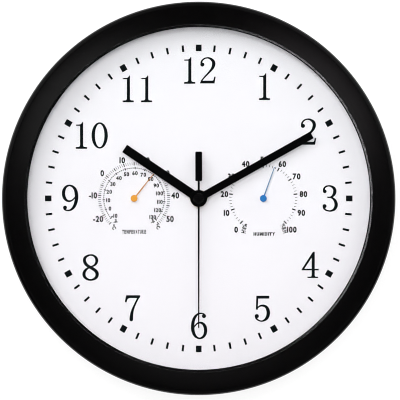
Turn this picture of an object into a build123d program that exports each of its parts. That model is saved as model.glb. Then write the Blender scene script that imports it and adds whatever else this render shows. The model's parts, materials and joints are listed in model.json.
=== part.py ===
from build123d import *
import os
from math import atan2, cos, degrees, hypot, radians, sin, sqrt

# A round wall clock with a thermometer and a hygrometer in its dial, piece by piece.
# Everything is drawn face up: X to the right, Y up the dial, Z towards the viewer from the wall plane at
# zero.
# The last step stands the clock up, so that its face looks along -Y and Z is up. Lengths are in millimetres.

# Depth, from the wall plane to the front
movement_wall_gap = 0.8
movement_depth = 16.0
gasket_thickness = 0.8
dial_thickness = 1.4
hand_space = 12.0
glass_thickness = 2.0
bezel_rise = 7.0

# Bezel ring
sight_radius = 130.6
bevel_width = 2.1
face_width = 17.3
face_fall = 1.4
face_crown = 0.5
outer_round = 3.5
lip_thickness = 1.0
skirt_wall = 2.6
face_wall = 2.6
pocket_wall = 2.6
pocket_reach = 4.0
glass_overlap = 3.2
glass_fit = 0.3
glass_edge_bevel = 0.4
key_width = 4.0
key_depth = 1.2
key_fit = 0.3

# Screws of the case
case_screw_count = 6
case_screw_start_angle = 30.0
screw_boss_radius = 3.6
screw_boss_skin = 1.0
screw_radius = 1.45
screw_length = 12.0
screw_head_radius = 2.8
screw_head_height = 1.8
screw_slot_width = 0.8
screw_fit = 0.05
screw_passage = 0.25

# Spacer ring between glass and dial
spacer_set_back = 0.5
spacer_fit = 0.15

# Dial plate
dial_fit = 0.3
bush_passage = 0.2
neck_fit = 0.1

# Printing on the dial
ink_thickness = 0.1
track_inset = 15.7
track_height = 5.0
hour_mark_width = 4.4
minute_mark_width = 1.65
minute_count = 60
minutes_per_numeral = 5
numeral_height = 20.4
numeral_inset = 16.9

# Rear cover
cover_recess = 3.0
cover_wall = 2.2
cover_fit = 0.4
clamp_ring_set_back = 2.7
clamp_ring_wall = 2.2
window_gap = 1.5
window_round = 4.0
collar_wall = 1.6
rib_height = 3.0
rib_width = 1.8
rib_count = 8
rib_start_angle = 22.5
vent_count = 7
vent_length = 26.0
vent_width = 2.4
vent_pitch = 4.6

# Hanger plate and its pocket in the cover
hanger_inset = 29.2
hanger_plate_width = 36.0
hanger_plate_length = 38.0
hanger_plate_round = 3.0
hanger_plate_thickness = 1.2
keyhole_entry_radius = 5.0
keyhole_slot_radius = 2.25
keyhole_drop = 11.0
hanger_pocket_width = 15.0
hanger_pocket_length = 27.0
hanger_pocket_depth = 8.0
hanger_pocket_wall = 1.6
hanger_screw_spacing = 26.0
hanger_screw_radius = 1.25
hanger_screw_length = 6.0
hanger_screw_head_radius = 2.4
hanger_screw_head_height = 1.3
hanger_boss_radius = 3.0
hanger_boss_height = 4.5

# Thermometer and hygrometer units
gauge_movement_gap = 3.3
gauge_radius = 18.0
gauge_depth = 8.2
gauge_wall = 1.0
gauge_neck_radius = 1.9
gauge_neck_proud = 0.2
gauge_vent_radius = 3.2
gauge_vent_circle = 10.6
gauge_vent_count = 6
gauge_arbor_radius = 0.6
gauge_arbor_fit = 0.06
gauge_pivot_depth = 0.7
collet_radius = 2.0
coil_thickness = 0.35
coil_width = 3.0
coil_pitch = 1.8
coil_half_turns = 12
coil_seat = 0.1
coil_post_radius = 0.8
pointer_gap = 1.0
pointer_hub_radius = 2.6
pointer_hub_height = 1.9
pointer_hub_round = 0.6
pointer_thickness = 0.4
pointer_base_width = 1.0
pointer_tip_width = 0.5
thermometer_pointer_length = 23.9
hygrometer_pointer_length = 25.3
thermometer_pointer_angle = 38.4
hygrometer_pointer_angle = 19.7

# Hands
hand_thickness = 0.5
hand_hub_radius = 6.5
hour_hand_angle = -56.0
hour_hand_width = 6.75
hour_hand_inset = 46.7
minute_hand_angle = 60.7
minute_hand_width = 5.75
minute_hand_inset = 15.9
second_hand_angle = 180.0
second_hand_inset = 15.9
second_hand_base_width = 1.5
second_hand_tip_width = 0.9
second_hand_neck_width = 1.6
weight_start = 13.2
weight_end = 35.7
weight_width = 5.2
weight_chamfer = 0.5
weight_round = 0.8
second_cap_radius = 4.0
second_cap_height = 1.1
second_cap_round = 0.5
hand_collet_wall = 0.9
hand_collet_depth = 0.6
hour_hand_gap = 0.6
minute_hand_gap = 0.5
second_hand_gap = 1.5

# Hand arbors, one inside the other
second_shaft_radius = 0.5
minute_tube_radius = 1.6
hour_tube_radius = 2.55
tube_fit = 0.06
tube_proud = 0.5
bush_proud = 0.4

# Bush, nut and washer that hold the movement to the dial
bush_radius = 4.0
bush_flange_radius = 5.2
bush_flange_fit = 0.02
nut_across_flats = 12.0
nut_thickness = 2.2
nut_fit = 0.03
washer_radius = 6.3
washer_thickness = 0.5
gasket_radius = 10.0

# Movement case
movement_width = 56.0
movement_round = 3.0
movement_wall = 1.1
movement_front_wall = 1.2
movement_back_wall = 1.2
movement_back_fit = 0.1
bay_wall = 1.0
post_radius = 1.5
pivot_boss_radius = 1.4
pivot_boss_height = 1.4
front_boss_gap = 0.2

# Battery and its contacts
battery_radius = 7.1
battery_length = 50.5
battery_nub_radius = 2.6
battery_nub_height = 1.2
battery_edge_round = 0.6
battery_fit = 0.25
battery_floor_gap = 0.15
contact_thickness = 0.4
contact_gap = 0.1
contact_strip_height = 2.0
contact_plate_height = 10.0
contact_plate_length = 11.0
contact_foot = 3.0
contact_slot_fit = 0.1
spring_leaf_thickness = 0.3
negative_foot_offset = 17.0

# Circuit board
board_thickness = 1.0
board_height = 5.2
board_width = 15.0
board_edge_gap = 0.7
board_top_gap = 0.9
board_post_fit = 0.3
crystal_radius = 1.0
crystal_length = 6.0
crystal_from_side = 4.2
crystal_from_top = 7.0
chip_radius = 3.2
chip_height = 1.3
chip_from_side = 5.7
chip_from_bottom = 7.6

# Stepping motor
magnet_radius = 3.0
magnet_hub_radius = 0.9
air_gap = 0.5
stator_ring_width = 1.7
stator_thickness = 1.0
stator_leg_width = 3.4
stator_leg_inset = 3.4
stator_leg_rise = 1.5
coil_span = 20.0
coil_up = 21.0
coil_centre_across = 13.65
core_width = 3.4
core_thickness = 1.0
bobbin_length = 11.2
bobbin_tube_radius = 2.2
bobbin_flange_radius = 3.9
bobbin_flange_thickness = 0.8
bobbin_fit = 0.05
winding_radius = 3.5
motor_screw_radius = 0.8
motor_screw_length = 3.6
motor_screw_head_radius = 1.6
motor_screw_head_height = 1.0
motor_screw_fit = 0.05

# Wheel train: heights above the wall plane
knob_height = 1.0
knob_thickness = 1.9
knob_radius = 6.3
knob_recess_fit = 0.4
knob_floor = 0.9
knob_grip_radius = 0.7
knob_grip_count = 16
middle_plate_height = 9.3
middle_plate_thickness = 0.8
middle_plate_edge = 2.4
middle_plate_inset = 11.2
rotor_pinion_height = 4.3
rotor_pinion_width = 1.5
magnet_height = 6.3
magnet_length = 2.2
stator_height = 6.9
intermediate_wheel_height = 4.6
intermediate_pinion_height = 6.2
intermediate_pinion_width = 1.3
seconds_wheel_height = 6.4
seconds_pinion_height = 7.6
seconds_pinion_width = 1.5
third_wheel_height = 7.9
third_pinion_height = 10.3
third_pinion_width = 1.4
centre_wheel_height = 10.6
cannon_pinion_height = 11.5
cannon_pinion_width = 2.1
minute_wheel_height = 12.0
minute_wheel_thickness = 1.1
hour_wheel_height = 14.1
hour_wheel_thickness = 1.2
setting_pinion_height = 11.8
setting_pinion_width = 1.5
wheel_thickness = 0.9
arbor_radius = 0.45
pivot_radius = 0.3
pivot_length = 0.6
pivot_fit = 0.05
setting_shaft_radius = 1.0
setting_pivot_radius = 0.7
wheel_post_radius = 0.8
end_shake = 0.2

# Wheel train: tooth counts, modules and directions between arbors
rotor_pinion_teeth = 10
intermediate_wheel_teeth = 60
intermediate_pinion_teeth = 10
seconds_wheel_teeth = 50
seconds_pinion_teeth = 8
third_wheel_teeth = 60
third_pinion_teeth = 8
centre_wheel_teeth = 64
cannon_pinion_teeth = 12
minute_wheel_teeth = 36
minute_pinion_teeth = 10
hour_wheel_teeth = 40
setting_pinion_teeth = 12
rotor_module = 0.22
intermediate_module = 0.28
seconds_module = 0.28
cannon_module = 0.36
intermediate_angle = 40.0
rotor_angle = 20.0
third_angle = 150.0
minute_wheel_angle = 30.0
setting_angle = -50.0

# One overrun serves every cut that goes right through
overrun = 1.0

# Tooth outlines as (half width, height) shares of the module, from the root past the pitch line to the tip
wheel_tooth_shares = [(0.72, -1.25), (0.62, 0.0), (0.43, 0.65), (0.14, 1.1)]
pinion_tooth_shares = [(0.38, -1.35), (0.52, 0.0), (0.44, 0.4), (0.2, 0.75)]

# Numeral outlines. A stroke lists (across, up, width) along its middle line, a ball (across, up, radius) and an
# outline its (across, up) corners, all as shares of the numeral's height.
stroke_shares = {
    "2": [[(0.075, 0.72, 0.05), (0.068, 0.80, 0.065), (0.12, 0.895, 0.06), (0.20, 0.95, 0.052),
           (0.31, 0.97, 0.058), (0.43, 0.925, 0.088), (0.515, 0.83, 0.118), (0.53, 0.73, 0.125),
           (0.50, 0.62, 0.11), (0.42, 0.50, 0.082), (0.30, 0.37, 0.062), (0.18, 0.24, 0.056),
           (0.09, 0.13, 0.056), (0.055, 0.08, 0.05)]],
    "3": [[(0.065, 0.765, 0.05), (0.068, 0.85, 0.07), (0.13, 0.935, 0.06), (0.245, 0.97, 0.055),
           (0.365, 0.94, 0.08), (0.455, 0.86, 0.112), (0.475, 0.765, 0.122), (0.445, 0.655, 0.108),
           (0.38, 0.58, 0.08), (0.30, 0.54, 0.05)],
          [(0.30, 0.54, 0.05), (0.40, 0.50, 0.075), (0.48, 0.415, 0.105), (0.522, 0.30, 0.125),
           (0.515, 0.20, 0.125), (0.455, 0.095, 0.10), (0.37, 0.045, 0.075), (0.265, 0.03, 0.058),
           (0.16, 0.055, 0.058), (0.075, 0.12, 0.07), (0.05, 0.205, 0.06)]],
    "5": [[(0.11, 0.50, 0.045), (0.17, 0.57, 0.055), (0.25, 0.61, 0.065), (0.34, 0.615, 0.082),
           (0.44, 0.575, 0.10), (0.51, 0.475, 0.125), (0.532, 0.34, 0.13), (0.51, 0.215, 0.125),
           (0.445, 0.11, 0.10), (0.36, 0.055, 0.07), (0.27, 0.035, 0.052), (0.17, 0.065, 0.055),
           (0.09, 0.125, 0.065), (0.06, 0.20, 0.06)]],
    "6": [[(0.53, 0.875, 0.04), (0.50, 0.935, 0.05), (0.43, 0.97, 0.05), (0.34, 0.972, 0.055),
           (0.24, 0.93, 0.075), (0.15, 0.83, 0.10), (0.09, 0.68, 0.115), (0.07, 0.52, 0.125),
           (0.075, 0.36, 0.125), (0.11, 0.22, 0.115), (0.19, 0.10, 0.09), (0.32, 0.038, 0.065),
           (0.42, 0.065, 0.075)],
          [(0.24, 0.068, 0.075), (0.32, 0.038, 0.065), (0.455, 0.09, 0.09), (0.53, 0.20, 0.115),
           (0.553, 0.34, 0.125), (0.53, 0.47, 0.12), (0.465, 0.575, 0.10), (0.36, 0.625, 0.075),
           (0.25, 0.60, 0.06), (0.165, 0.52, 0.052), (0.09, 0.42, 0.05)]],
    "7": [[(0.555, 0.95, 0.07), (0.51, 0.86, 0.068), (0.445, 0.73, 0.068), (0.375, 0.58, 0.075),
           (0.315, 0.42, 0.095), (0.28, 0.27, 0.118), (0.268, 0.16, 0.13), (0.268, 0.08, 0.135)]],
    "8": [[(0.43, 0.945, 0.075), (0.33, 0.968, 0.06), (0.20, 0.935, 0.08), (0.10, 0.845, 0.108),
           (0.092, 0.735, 0.115), (0.15, 0.62, 0.115), (0.27, 0.525, 0.11), (0.42, 0.44, 0.115),
           (0.53, 0.345, 0.125), (0.563, 0.245, 0.125), (0.53, 0.135, 0.112), (0.43, 0.06, 0.085),
           (0.32, 0.035, 0.068), (0.22, 0.055, 0.08)],
          [(0.42, 0.058, 0.08), (0.32, 0.035, 0.068), (0.195, 0.065, 0.085), (0.095, 0.155, 0.11),
           (0.07, 0.26, 0.118), (0.10, 0.36, 0.105), (0.18, 0.45, 0.082), (0.29, 0.515, 0.06),
           (0.42, 0.56, 0.065), (0.51, 0.635, 0.09), (0.55, 0.745, 0.11), (0.525, 0.855, 0.10),
           (0.44, 0.94, 0.075), (0.33, 0.968, 0.06), (0.23, 0.945, 0.07)]],
    "9": [[(0.40, 0.94, 0.075), (0.30, 0.968, 0.062), (0.18, 0.92, 0.085), (0.105, 0.80, 0.115),
           (0.082, 0.665, 0.122), (0.11, 0.53, 0.118), (0.18, 0.425, 0.095), (0.29, 0.38, 0.07),
           (0.40, 0.41, 0.055), (0.49, 0.49, 0.05), (0.56, 0.57, 0.05)],
          [(0.21, 0.94, 0.07), (0.30, 0.968, 0.062), (0.43, 0.925, 0.085), (0.525, 0.81, 0.115),
           (0.565, 0.655, 0.13), (0.572, 0.50, 0.13), (0.545, 0.335, 0.122), (0.485, 0.185, 0.105),
           (0.395, 0.08, 0.08), (0.29, 0.035, 0.058), (0.19, 0.04, 0.052), (0.12, 0.075, 0.055),
           (0.10, 0.135, 0.05)]],
}
ball_shares = {
    "2": [(0.105, 0.72, 0.076)],
    "3": [(0.098, 0.765, 0.068), (0.09, 0.21, 0.075)],
    "5": [(0.10, 0.22, 0.078)],
    "6": [(0.49, 0.875, 0.077)],
    "7": [(0.268, 0.078, 0.068)],
    "9": [(0.14, 0.14, 0.073)],
}
outline_shares = {
    "1": [[(0.01, 0.0), (0.43, 0.0), (0.43, 0.065), (0.345, 0.072), (0.30, 0.09), (0.285, 0.13), (0.285, 1.0),
           (0.255, 1.0), (0.225, 0.95), (0.19, 0.92), (0.14, 0.91), (0.02, 0.908), (0.02, 0.862),
           (0.17, 0.862), (0.17, 0.13), (0.155, 0.09), (0.115, 0.072), (0.01, 0.065)]],
    "2": [[(0.015, 0.012), (0.56, 0.012), (0.605, 0.265), (0.548, 0.265), (0.53, 0.17), (0.515, 0.135),
           (0.48, 0.118), (0.10, 0.118), (0.015, 0.05)]],
    "3": [[(0.19, 0.515), (0.36, 0.515), (0.36, 0.567), (0.19, 0.567)]],
    "4": [[(0.0, 0.303), (0.64, 0.303), (0.64, 0.365), (0.49, 0.365), (0.49, 1.0), (0.425, 1.0),
           (0.0, 0.345)],
          [(0.375, 0.33), (0.375, 0.11), (0.36, 0.08), (0.325, 0.068), (0.215, 0.068), (0.215, 0.018),
           (0.615, 0.018), (0.615, 0.068), (0.535, 0.068), (0.505, 0.08), (0.49, 0.11), (0.49, 0.33)]],
    "5": [[(0.085, 0.985), (0.57, 0.985), (0.57, 0.878), (0.155, 0.878), (0.138, 0.53), (0.145, 0.465),
           (0.065, 0.465)]],
    "7": [[(0.07, 0.985), (0.60, 0.985), (0.60, 0.935), (0.575, 0.88), (0.21, 0.88), (0.155, 0.865),
           (0.12, 0.82), (0.09, 0.722), (0.025, 0.722)]],
}
counter_shares = {"4": [(0.105, 0.365), (0.375, 0.365), (0.375, 0.775)]}
# The nought's outer and inner ovals: across, up, half width, half height
nought_shares = [(0.32, 0.5, 0.305, 0.492), (0.32, 0.5, 0.178, 0.432)]
# Each hour: its digits, where each digit starts, the middle of the whole (shares of the height), its angle from
# twelve in degrees and its radius as a share of the common one
numeral_shares = [
    ("1", [0.0], 0.22, 30.5, 1.01), ("2", [0.0], 0.31, 58.7, 1.0), ("3", [0.0], 0.29, 90.0, 1.022),
    ("4", [0.0], 0.32, 120.9, 1.012), ("5", [0.0], 0.31, 150.0, 0.992), ("6", [0.0], 0.31, 179.8, 0.994),
    ("7", [0.0], 0.31, 211.1, 0.999), ("8", [0.0], 0.32, 237.4, 0.999), ("9", [0.0], 0.31, 270.2, 1.006),
    ("10", [0.0, 0.585], 0.612, 300.5, 0.966), ("11", [0.0, 0.686], 0.568, 330.8, 0.977),
    ("12", [0.0, 0.592], 0.602, 0.5, 0.997)]

# Radii that follow from the sight of the dial: each inset is measured inwards from the ring or track before it
opening_radius = sight_radius + bevel_width
case_radius = opening_radius + face_width
glass_radius = sight_radius + glass_overlap
pocket_radius = glass_radius + glass_fit
skirt_inner_radius = case_radius - skirt_wall
pocket_outer_radius = pocket_radius + pocket_wall
screw_circle = (pocket_outer_radius + skirt_inner_radius) / 2
clamp_ring_radius = pocket_radius - clamp_ring_set_back
hanger_height = clamp_ring_radius - clamp_ring_wall - hanger_inset
track_radius = sight_radius - track_inset
numeral_radius = track_radius - numeral_inset
hour_hand_reach = track_radius - hour_hand_inset
minute_hand_reach = track_radius - minute_hand_inset
second_hand_reach = track_radius - second_hand_inset

# Heights that follow from the depths above
movement_front = movement_wall_gap + movement_depth
dial_back = movement_front + gasket_thickness
dial_front = dial_back + dial_thickness
glass_back = dial_front + hand_space
glass_front = glass_back + glass_thickness
case_depth = glass_front + bezel_rise
cover_front = cover_recess + cover_wall
face_inner_height = case_depth - face_fall
room_front = movement_front - movement_front_wall
back_inner = movement_wall_gap + movement_back_wall
half_movement = movement_width / 2
gauge_offset = half_movement + gauge_movement_gap + gauge_radius
room_half = half_movement - movement_wall
bay_top = -half_movement + bay_wall + 2 * (battery_radius + battery_fit)
room_bottom = bay_top + bay_wall
battery_up = bay_top - battery_radius - battery_fit
battery_centre_height = room_front - battery_floor_gap - battery_radius
battery_tip = -room_half + contact_thickness + contact_gap
battery_end = battery_tip + battery_length
board_front = board_height + board_thickness
middle_plate_front = middle_plate_height + middle_plate_thickness

# Heights of the hands and pointers, from the nut and bush upwards
washer_front = dial_front + washer_thickness
nut_front = washer_front + nut_thickness
bush_front = nut_front + bush_proud
hour_hand_back = bush_front + hand_collet_depth + hour_hand_gap
hour_hand_front = hour_hand_back + hand_thickness
hour_tube_front = hour_hand_front + tube_proud
minute_hand_back = hour_tube_front + hand_collet_depth + minute_hand_gap
minute_hand_front = minute_hand_back + hand_thickness
minute_tube_front = minute_hand_front + tube_proud
second_hand_back = minute_tube_front + second_hand_gap
second_hand_front = second_hand_back + hand_thickness
pointer_back = dial_front + pointer_gap

# Bores that follow from the shafts in them
minute_bore = second_shaft_radius + tube_fit
hour_bore = minute_tube_radius + tube_fit
bush_bore = hour_tube_radius + tube_fit
pivot_bore = pivot_radius + pivot_fit


def pitch_radius(teeth, module):
    """Radius of a wheel's pitch circle."""
    return teeth * module / 2


def centre_distance(teeth, mate_teeth, module):
    """Distance between two arbors whose wheels mesh."""
    return (teeth + mate_teeth) * module / 2


def shared_module(distance, teeth, mate_teeth):
    """Module that makes two wheels mesh at a given distance."""
    return 2 * distance / (teeth + mate_teeth)


def step_from(place, distance, angle):
    """The place at a distance and an angle in degrees from another place."""
    across, up = place
    return across + distance * cos(radians(angle)), up + distance * sin(radians(angle))


# Places of the arbors and the modules of the wheels that share them
dial_centre = (0, 0)
intermediate_distance = centre_distance(intermediate_pinion_teeth, seconds_wheel_teeth, intermediate_module)
intermediate_place = step_from(dial_centre, intermediate_distance, intermediate_angle)
rotor_distance = centre_distance(rotor_pinion_teeth, intermediate_wheel_teeth, rotor_module)
rotor_place = step_from(intermediate_place, rotor_distance, rotor_angle)
third_distance = centre_distance(seconds_pinion_teeth, third_wheel_teeth, seconds_module)
third_place = step_from(dial_centre, third_distance, third_angle)
third_module = shared_module(third_distance, third_pinion_teeth, centre_wheel_teeth)
motion_distance = centre_distance(cannon_pinion_teeth, minute_wheel_teeth, cannon_module)
minute_wheel_place = step_from(dial_centre, motion_distance, minute_wheel_angle)
minute_module = shared_module(motion_distance, minute_pinion_teeth, hour_wheel_teeth)
setting_distance = centre_distance(setting_pinion_teeth, minute_wheel_teeth, cannon_module)
setting_place = step_from(minute_wheel_place, setting_distance, setting_angle)
stator_left = (coil_centre_across - coil_span / 2, coil_up)
stator_right = (coil_centre_across + coil_span / 2, coil_up)
board_left = -room_half + board_edge_gap
board_bottom = room_bottom + board_edge_gap
board_length = room_half - board_top_gap - board_bottom
crystal_place = (board_left + crystal_from_side, board_bottom + board_length - crystal_from_top)
chip_place = (board_left + chip_from_side, board_bottom + chip_from_bottom)
# Posts that carry the middle plate
plate_left = -room_half + middle_plate_inset
plate_right = room_half - board_edge_gap
plate_top = coil_up - bobbin_flange_radius - middle_plate_edge
plate_bottom = room_bottom + board_edge_gap
plate_post_places = [(plate_left + post_radius, plate_top - post_radius),
                     (plate_left + post_radius, plate_bottom + 2 * post_radius),
                     (plate_right - post_radius, plate_bottom + 2 * post_radius)]
# Posts that carry the circuit board
board_post_places = [(board_left + 2 * post_radius, board_bottom + 2 * post_radius),
                     (board_left + 2 * post_radius, board_bottom + board_length - 2 * post_radius),
                     (board_left + board_width - 2 * post_radius,
                      board_bottom + board_length - 2 * post_radius)]


def disc(radius, back, front, place=(0, 0)):
    """A round plate, pin or hole between two heights."""
    across, up = place
    return Pos(across, up, back) * Cylinder(radius, front - back,
                                            align=(Align.CENTER, Align.CENTER, Align.MIN))


def ring(outer, inner, back, front, place=(0, 0)):
    """A round plate with a round hole."""
    return disc(outer, back, front, place) - disc(inner, back - overrun, front + overrun, place)


def block(left, right, bottom, top, back, front):
    """A box given by its six faces."""
    middle = Pos((left + right) / 2, (bottom + top) / 2, (back + front) / 2)
    return middle * Box(right - left, top - bottom, front - back)


def rounded_plate(width, length, corner, back, front, place=(0, 0)):
    """A rectangular plate with rounded corners."""
    across, up = place
    return extrude(Pos(across, up, back) * RectangleRounded(width, length, corner), amount=front - back)


def capsule(start, end, width, back, front):
    """A flat bar with round ends from one place to another."""
    length = hypot(end[0] - start[0], end[1] - start[1])
    angle = degrees(atan2(end[1] - start[1], end[0] - start[0]))
    middle = Pos((start[0] + end[0]) / 2, (start[1] + end[1]) / 2, (back + front) / 2)
    bar = middle * Rot(0, 0, angle) * Box(length, width, front - back)
    return bar + disc(width / 2, back, front, start) + disc(width / 2, back, front, end)


def around(count, radius, start_angle=0):
    """Places evenly spaced on a circle."""
    return [step_from(dial_centre, radius, start_angle + 360 * k / count) for k in range(count)]


def turned(edges):
    """A solid turned about the dial's axis from the edges of its half section."""
    return revolve(make_face(edges), Axis.Z)


def section_line(*corners):
    """Straight runs of a half section, given as (radius, height) corners."""
    return Polyline(*[(radius, 0, height) for radius, height in corners])


def bezel_frame():
    """Moulded ring: rounded rim, crowned face, inner bevel, glass pocket, screw bosses and the dial's key."""
    rim = case_radius - outer_round
    corner = outer_round * (1 - sqrt(0.5))
    face_middle = ((rim + opening_radius) / 2, 0, (case_depth + face_inner_height) / 2 + face_crown)
    edges = [
        section_line((case_radius, 0), (case_radius, case_depth - outer_round)),
        ThreePointArc((case_radius, 0, case_depth - outer_round),
                      (case_radius - corner, 0, case_depth - corner), (rim, 0, case_depth)),
        ThreePointArc((rim, 0, case_depth), face_middle, (opening_radius, 0, face_inner_height)),
        section_line((opening_radius, face_inner_height), (sight_radius, glass_front + lip_thickness),
                     (sight_radius, glass_front), (pocket_radius, glass_front),
                     (pocket_radius, dial_back - pocket_reach),
                     (pocket_outer_radius, dial_back - pocket_reach),
                     (pocket_outer_radius, face_inner_height - face_wall),
                     (skirt_inner_radius, case_depth - face_wall), (skirt_inner_radius, 0), (case_radius, 0))]
    frame = turned(edges)
    boss_top = face_inner_height - screw_boss_skin
    for place in around(case_screw_count, screw_circle, case_screw_start_angle):
        frame += disc(screw_boss_radius, cover_front, boss_top, place)
    for place in around(case_screw_count, screw_circle, case_screw_start_angle):
        frame -= disc(screw_radius + screw_fit, cover_front - overrun, cover_recess + screw_length + overrun,
                      place)
    key_tip = pocket_radius - key_depth
    key_root = pocket_radius + pocket_wall / 2
    return frame + block(-key_width / 2, key_width / 2, -key_root, -key_tip, dial_back - pocket_reach,
                         glass_back)


def notch(back, front):
    """Room for the key in the rim of the dial and of the spacer ring."""
    half = key_width / 2 + key_fit
    depth = pocket_radius - key_depth - key_fit
    return block(-half, half, -pocket_radius - overrun, -depth, back - overrun, front + overrun)


def lens():
    """Flat round glass."""
    glass = disc(glass_radius, glass_back, glass_front)
    return chamfer(glass.edges().filter_by(GeomType.CIRCLE), glass_edge_bevel)


def spacer_ring():
    """Ring that keeps the glass off the hands."""
    hoop = ring(pocket_radius - spacer_fit, sight_radius + spacer_set_back, dial_front, glass_back)
    return hoop - notch(dial_front, glass_back)


def dial():
    """Dial plate with its holes for the hand arbor and the two pointers."""
    plate = disc(pocket_radius - dial_fit, dial_back, dial_front) - notch(dial_back, dial_front)
    plate -= disc(bush_radius + bush_passage, dial_back - overrun, dial_front + overrun)
    for side in (-1, 1):
        hole = gauge_neck_radius + neck_fit
        plate -= disc(hole, dial_back - overrun, dial_front + overrun, (side * gauge_offset, 0))
    return plate


def stroke_face(shares, height):
    """One pen stroke of a numeral, from its middle line and widths."""
    left, right = [], []
    for k, (across, up, width) in enumerate(shares):
        before = shares[max(k - 1, 0)]
        after = shares[min(k + 1, len(shares) - 1)]
        run = hypot(after[0] - before[0], after[1] - before[1])
        side = ((before[1] - after[1]) / run, (after[0] - before[0]) / run)
        left.append(((across + side[0] * width / 2) * height, (up + side[1] * width / 2) * height))
        right.append(((across - side[0] * width / 2) * height, (up - side[1] * width / 2) * height))
    return make_face([Spline(*left), Line(left[-1], right[-1]), Spline(*right), Line(left[0], right[0])])


def outline_face(shares, height):
    """A straight-sided part of a numeral."""
    return make_face(Polyline(*[(across * height, up * height) for across, up in shares], close=True))


def digit_face(digit, height):
    """The flat shape of one digit, standing on its base line."""
    if digit == "0":
        outer, inner = [Pos(x * height, y * height) * Ellipse(a * height, b * height)
                        for x, y, a, b in nought_shares]
        return outer - inner
    pieces = [stroke_face(stroke, height) for stroke in stroke_shares.get(digit, [])]
    pieces += [Pos(x * height, y * height) * Circle(r * height) for x, y, r in ball_shares.get(digit, [])]
    pieces += [outline_face(outline, height) for outline in outline_shares.get(digit, [])]
    face = Sketch() + pieces
    if digit in counter_shares:
        face -= outline_face(counter_shares[digit], height)
    return face


def hour_numerals():
    """The printed numerals 1 to 12, as one thin layer of ink."""
    digits = []
    for text, starts, middle, angle, radius_share in numeral_shares:
        radius = numeral_radius * radius_share
        across = radius * sin(radians(angle)) - middle * numeral_height
        up = radius * cos(radians(angle)) - numeral_height / 2
        for digit, start in zip(text, starts):
            spot = Pos(across + start * numeral_height, up, dial_front)
            digits.append(extrude(spot * digit_face(digit, numeral_height), amount=ink_thickness))
    return Part() + digits


def minute_marks():
    """The printed track: a square at each hour and a bar at each minute between."""
    marks = []
    for k in range(minute_count):
        width = minute_mark_width if k % minutes_per_numeral else hour_mark_width
        mark = Pos(0, track_radius, dial_front + ink_thickness / 2) * Box(width, track_height, ink_thickness)
        marks.append(Rot(0, 0, 360 * k / minute_count) * mark)
    return Part() + marks


def hanger_pocket(extra):
    """Outer (extra = wall) or inner (extra = 0) shape of the pocket that takes the head of the wall screw."""
    width = hanger_pocket_width + 2 * extra
    length = hanger_pocket_length + 2 * extra
    middle = (0, hanger_height)
    return rounded_plate(width, length, hanger_plate_round, cover_recess,
                         cover_recess + hanger_pocket_depth + extra, middle)


def rear_cover():
    """Rear plate with its clamp ring, ribs, movement window, vents and the pocket for the wall screw."""
    cover = disc(skirt_inner_radius - cover_fit, cover_recess, cover_front)
    cover += ring(clamp_ring_radius, clamp_ring_radius - clamp_ring_wall, cover_front, dial_back)
    window = movement_width + 2 * window_gap
    collar = window + 2 * collar_wall
    for k in range(rib_count):
        angle = rib_start_angle + 360 * k / rib_count
        start = step_from(dial_centre, window / 2, angle)
        end = step_from(dial_centre, clamp_ring_radius - clamp_ring_wall, angle)
        cover += capsule(start, end, rib_width, cover_front, cover_front + rib_height)
    cover += rounded_plate(collar, collar, window_round + collar_wall, cover_front, cover_front + rib_height)
    cover += hanger_pocket(hanger_pocket_wall)
    for side in (-1, 1):
        place = (side * hanger_screw_spacing / 2, hanger_height)
        cover += disc(hanger_boss_radius, cover_front, cover_front + hanger_boss_height, place)
    cover -= rounded_plate(window, window, window_round, -overrun, cover_front + rib_height + overrun)
    cover -= hanger_pocket(0)
    for side in (-1, 1):
        place = (side * hanger_screw_spacing / 2, hanger_height)
        pilot_end = cover_recess + hanger_screw_length
        cover -= disc(hanger_screw_radius + screw_fit, cover_recess - overrun, pilot_end, place)
        for k in range(vent_count):
            up = (k - (vent_count - 1) / 2) * vent_pitch
            slot = Pos(side * gauge_offset, up, 0) * SlotOverall(vent_length, vent_width)
            cover -= extrude(slot, amount=cover_front + rib_height + overrun)
    for place in around(case_screw_count, screw_circle, case_screw_start_angle):
        cover -= disc(screw_radius + screw_passage, cover_recess - overrun, cover_front + overrun, place)
    return cover


def pan_screw(radius, length, head_radius, head_height, seat):
    """A screw driven towards the front, its head below the seat height."""
    head = disc(head_radius, seat - head_height, seat)
    head = chamfer(head.edges().group_by(Axis.Z)[0], head_height / 3)
    slot = block(-head_radius - overrun, head_radius + overrun, -screw_slot_width / 2, screw_slot_width / 2,
                 seat - head_height - overrun, seat - head_height / 2)
    return head - slot + disc(radius, seat, seat + length)


def case_screws():
    """The screws that hold the rear cover to the bezel."""
    screw = pan_screw(screw_radius, screw_length, screw_head_radius, screw_head_height, cover_recess)
    places = around(case_screw_count, screw_circle, case_screw_start_angle)
    return Part() + [Pos(across, up, 0) * screw for across, up in places]


def hanger_plate():
    """Steel plate with the keyhole that hangs on the wall screw."""
    back = cover_recess - hanger_plate_thickness
    middle = (0, hanger_height)
    plate = rounded_plate(hanger_plate_width, hanger_plate_length, hanger_plate_round, back, cover_recess,
                          middle)
    entry = (0, hanger_height - keyhole_drop / 2)
    rest = (0, hanger_height + keyhole_drop / 2)
    plate -= disc(keyhole_entry_radius, back - overrun, cover_recess + overrun, entry)
    plate -= capsule(entry, rest, 2 * keyhole_slot_radius, back - overrun, cover_recess + overrun)
    for side in (-1, 1):
        place = (side * hanger_screw_spacing / 2, hanger_height)
        plate -= disc(hanger_screw_radius + screw_passage, back - overrun, cover_recess + overrun, place)
    return plate


def hanger_screws():
    """The two screws of the hanger plate."""
    seat = cover_recess - hanger_plate_thickness
    screw = pan_screw(hanger_screw_radius, hanger_screw_length, hanger_screw_head_radius,
                      hanger_screw_head_height, seat)
    return Part() + [Pos(side * hanger_screw_spacing / 2, hanger_height, 0) * screw for side in (-1, 1)]


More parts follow.
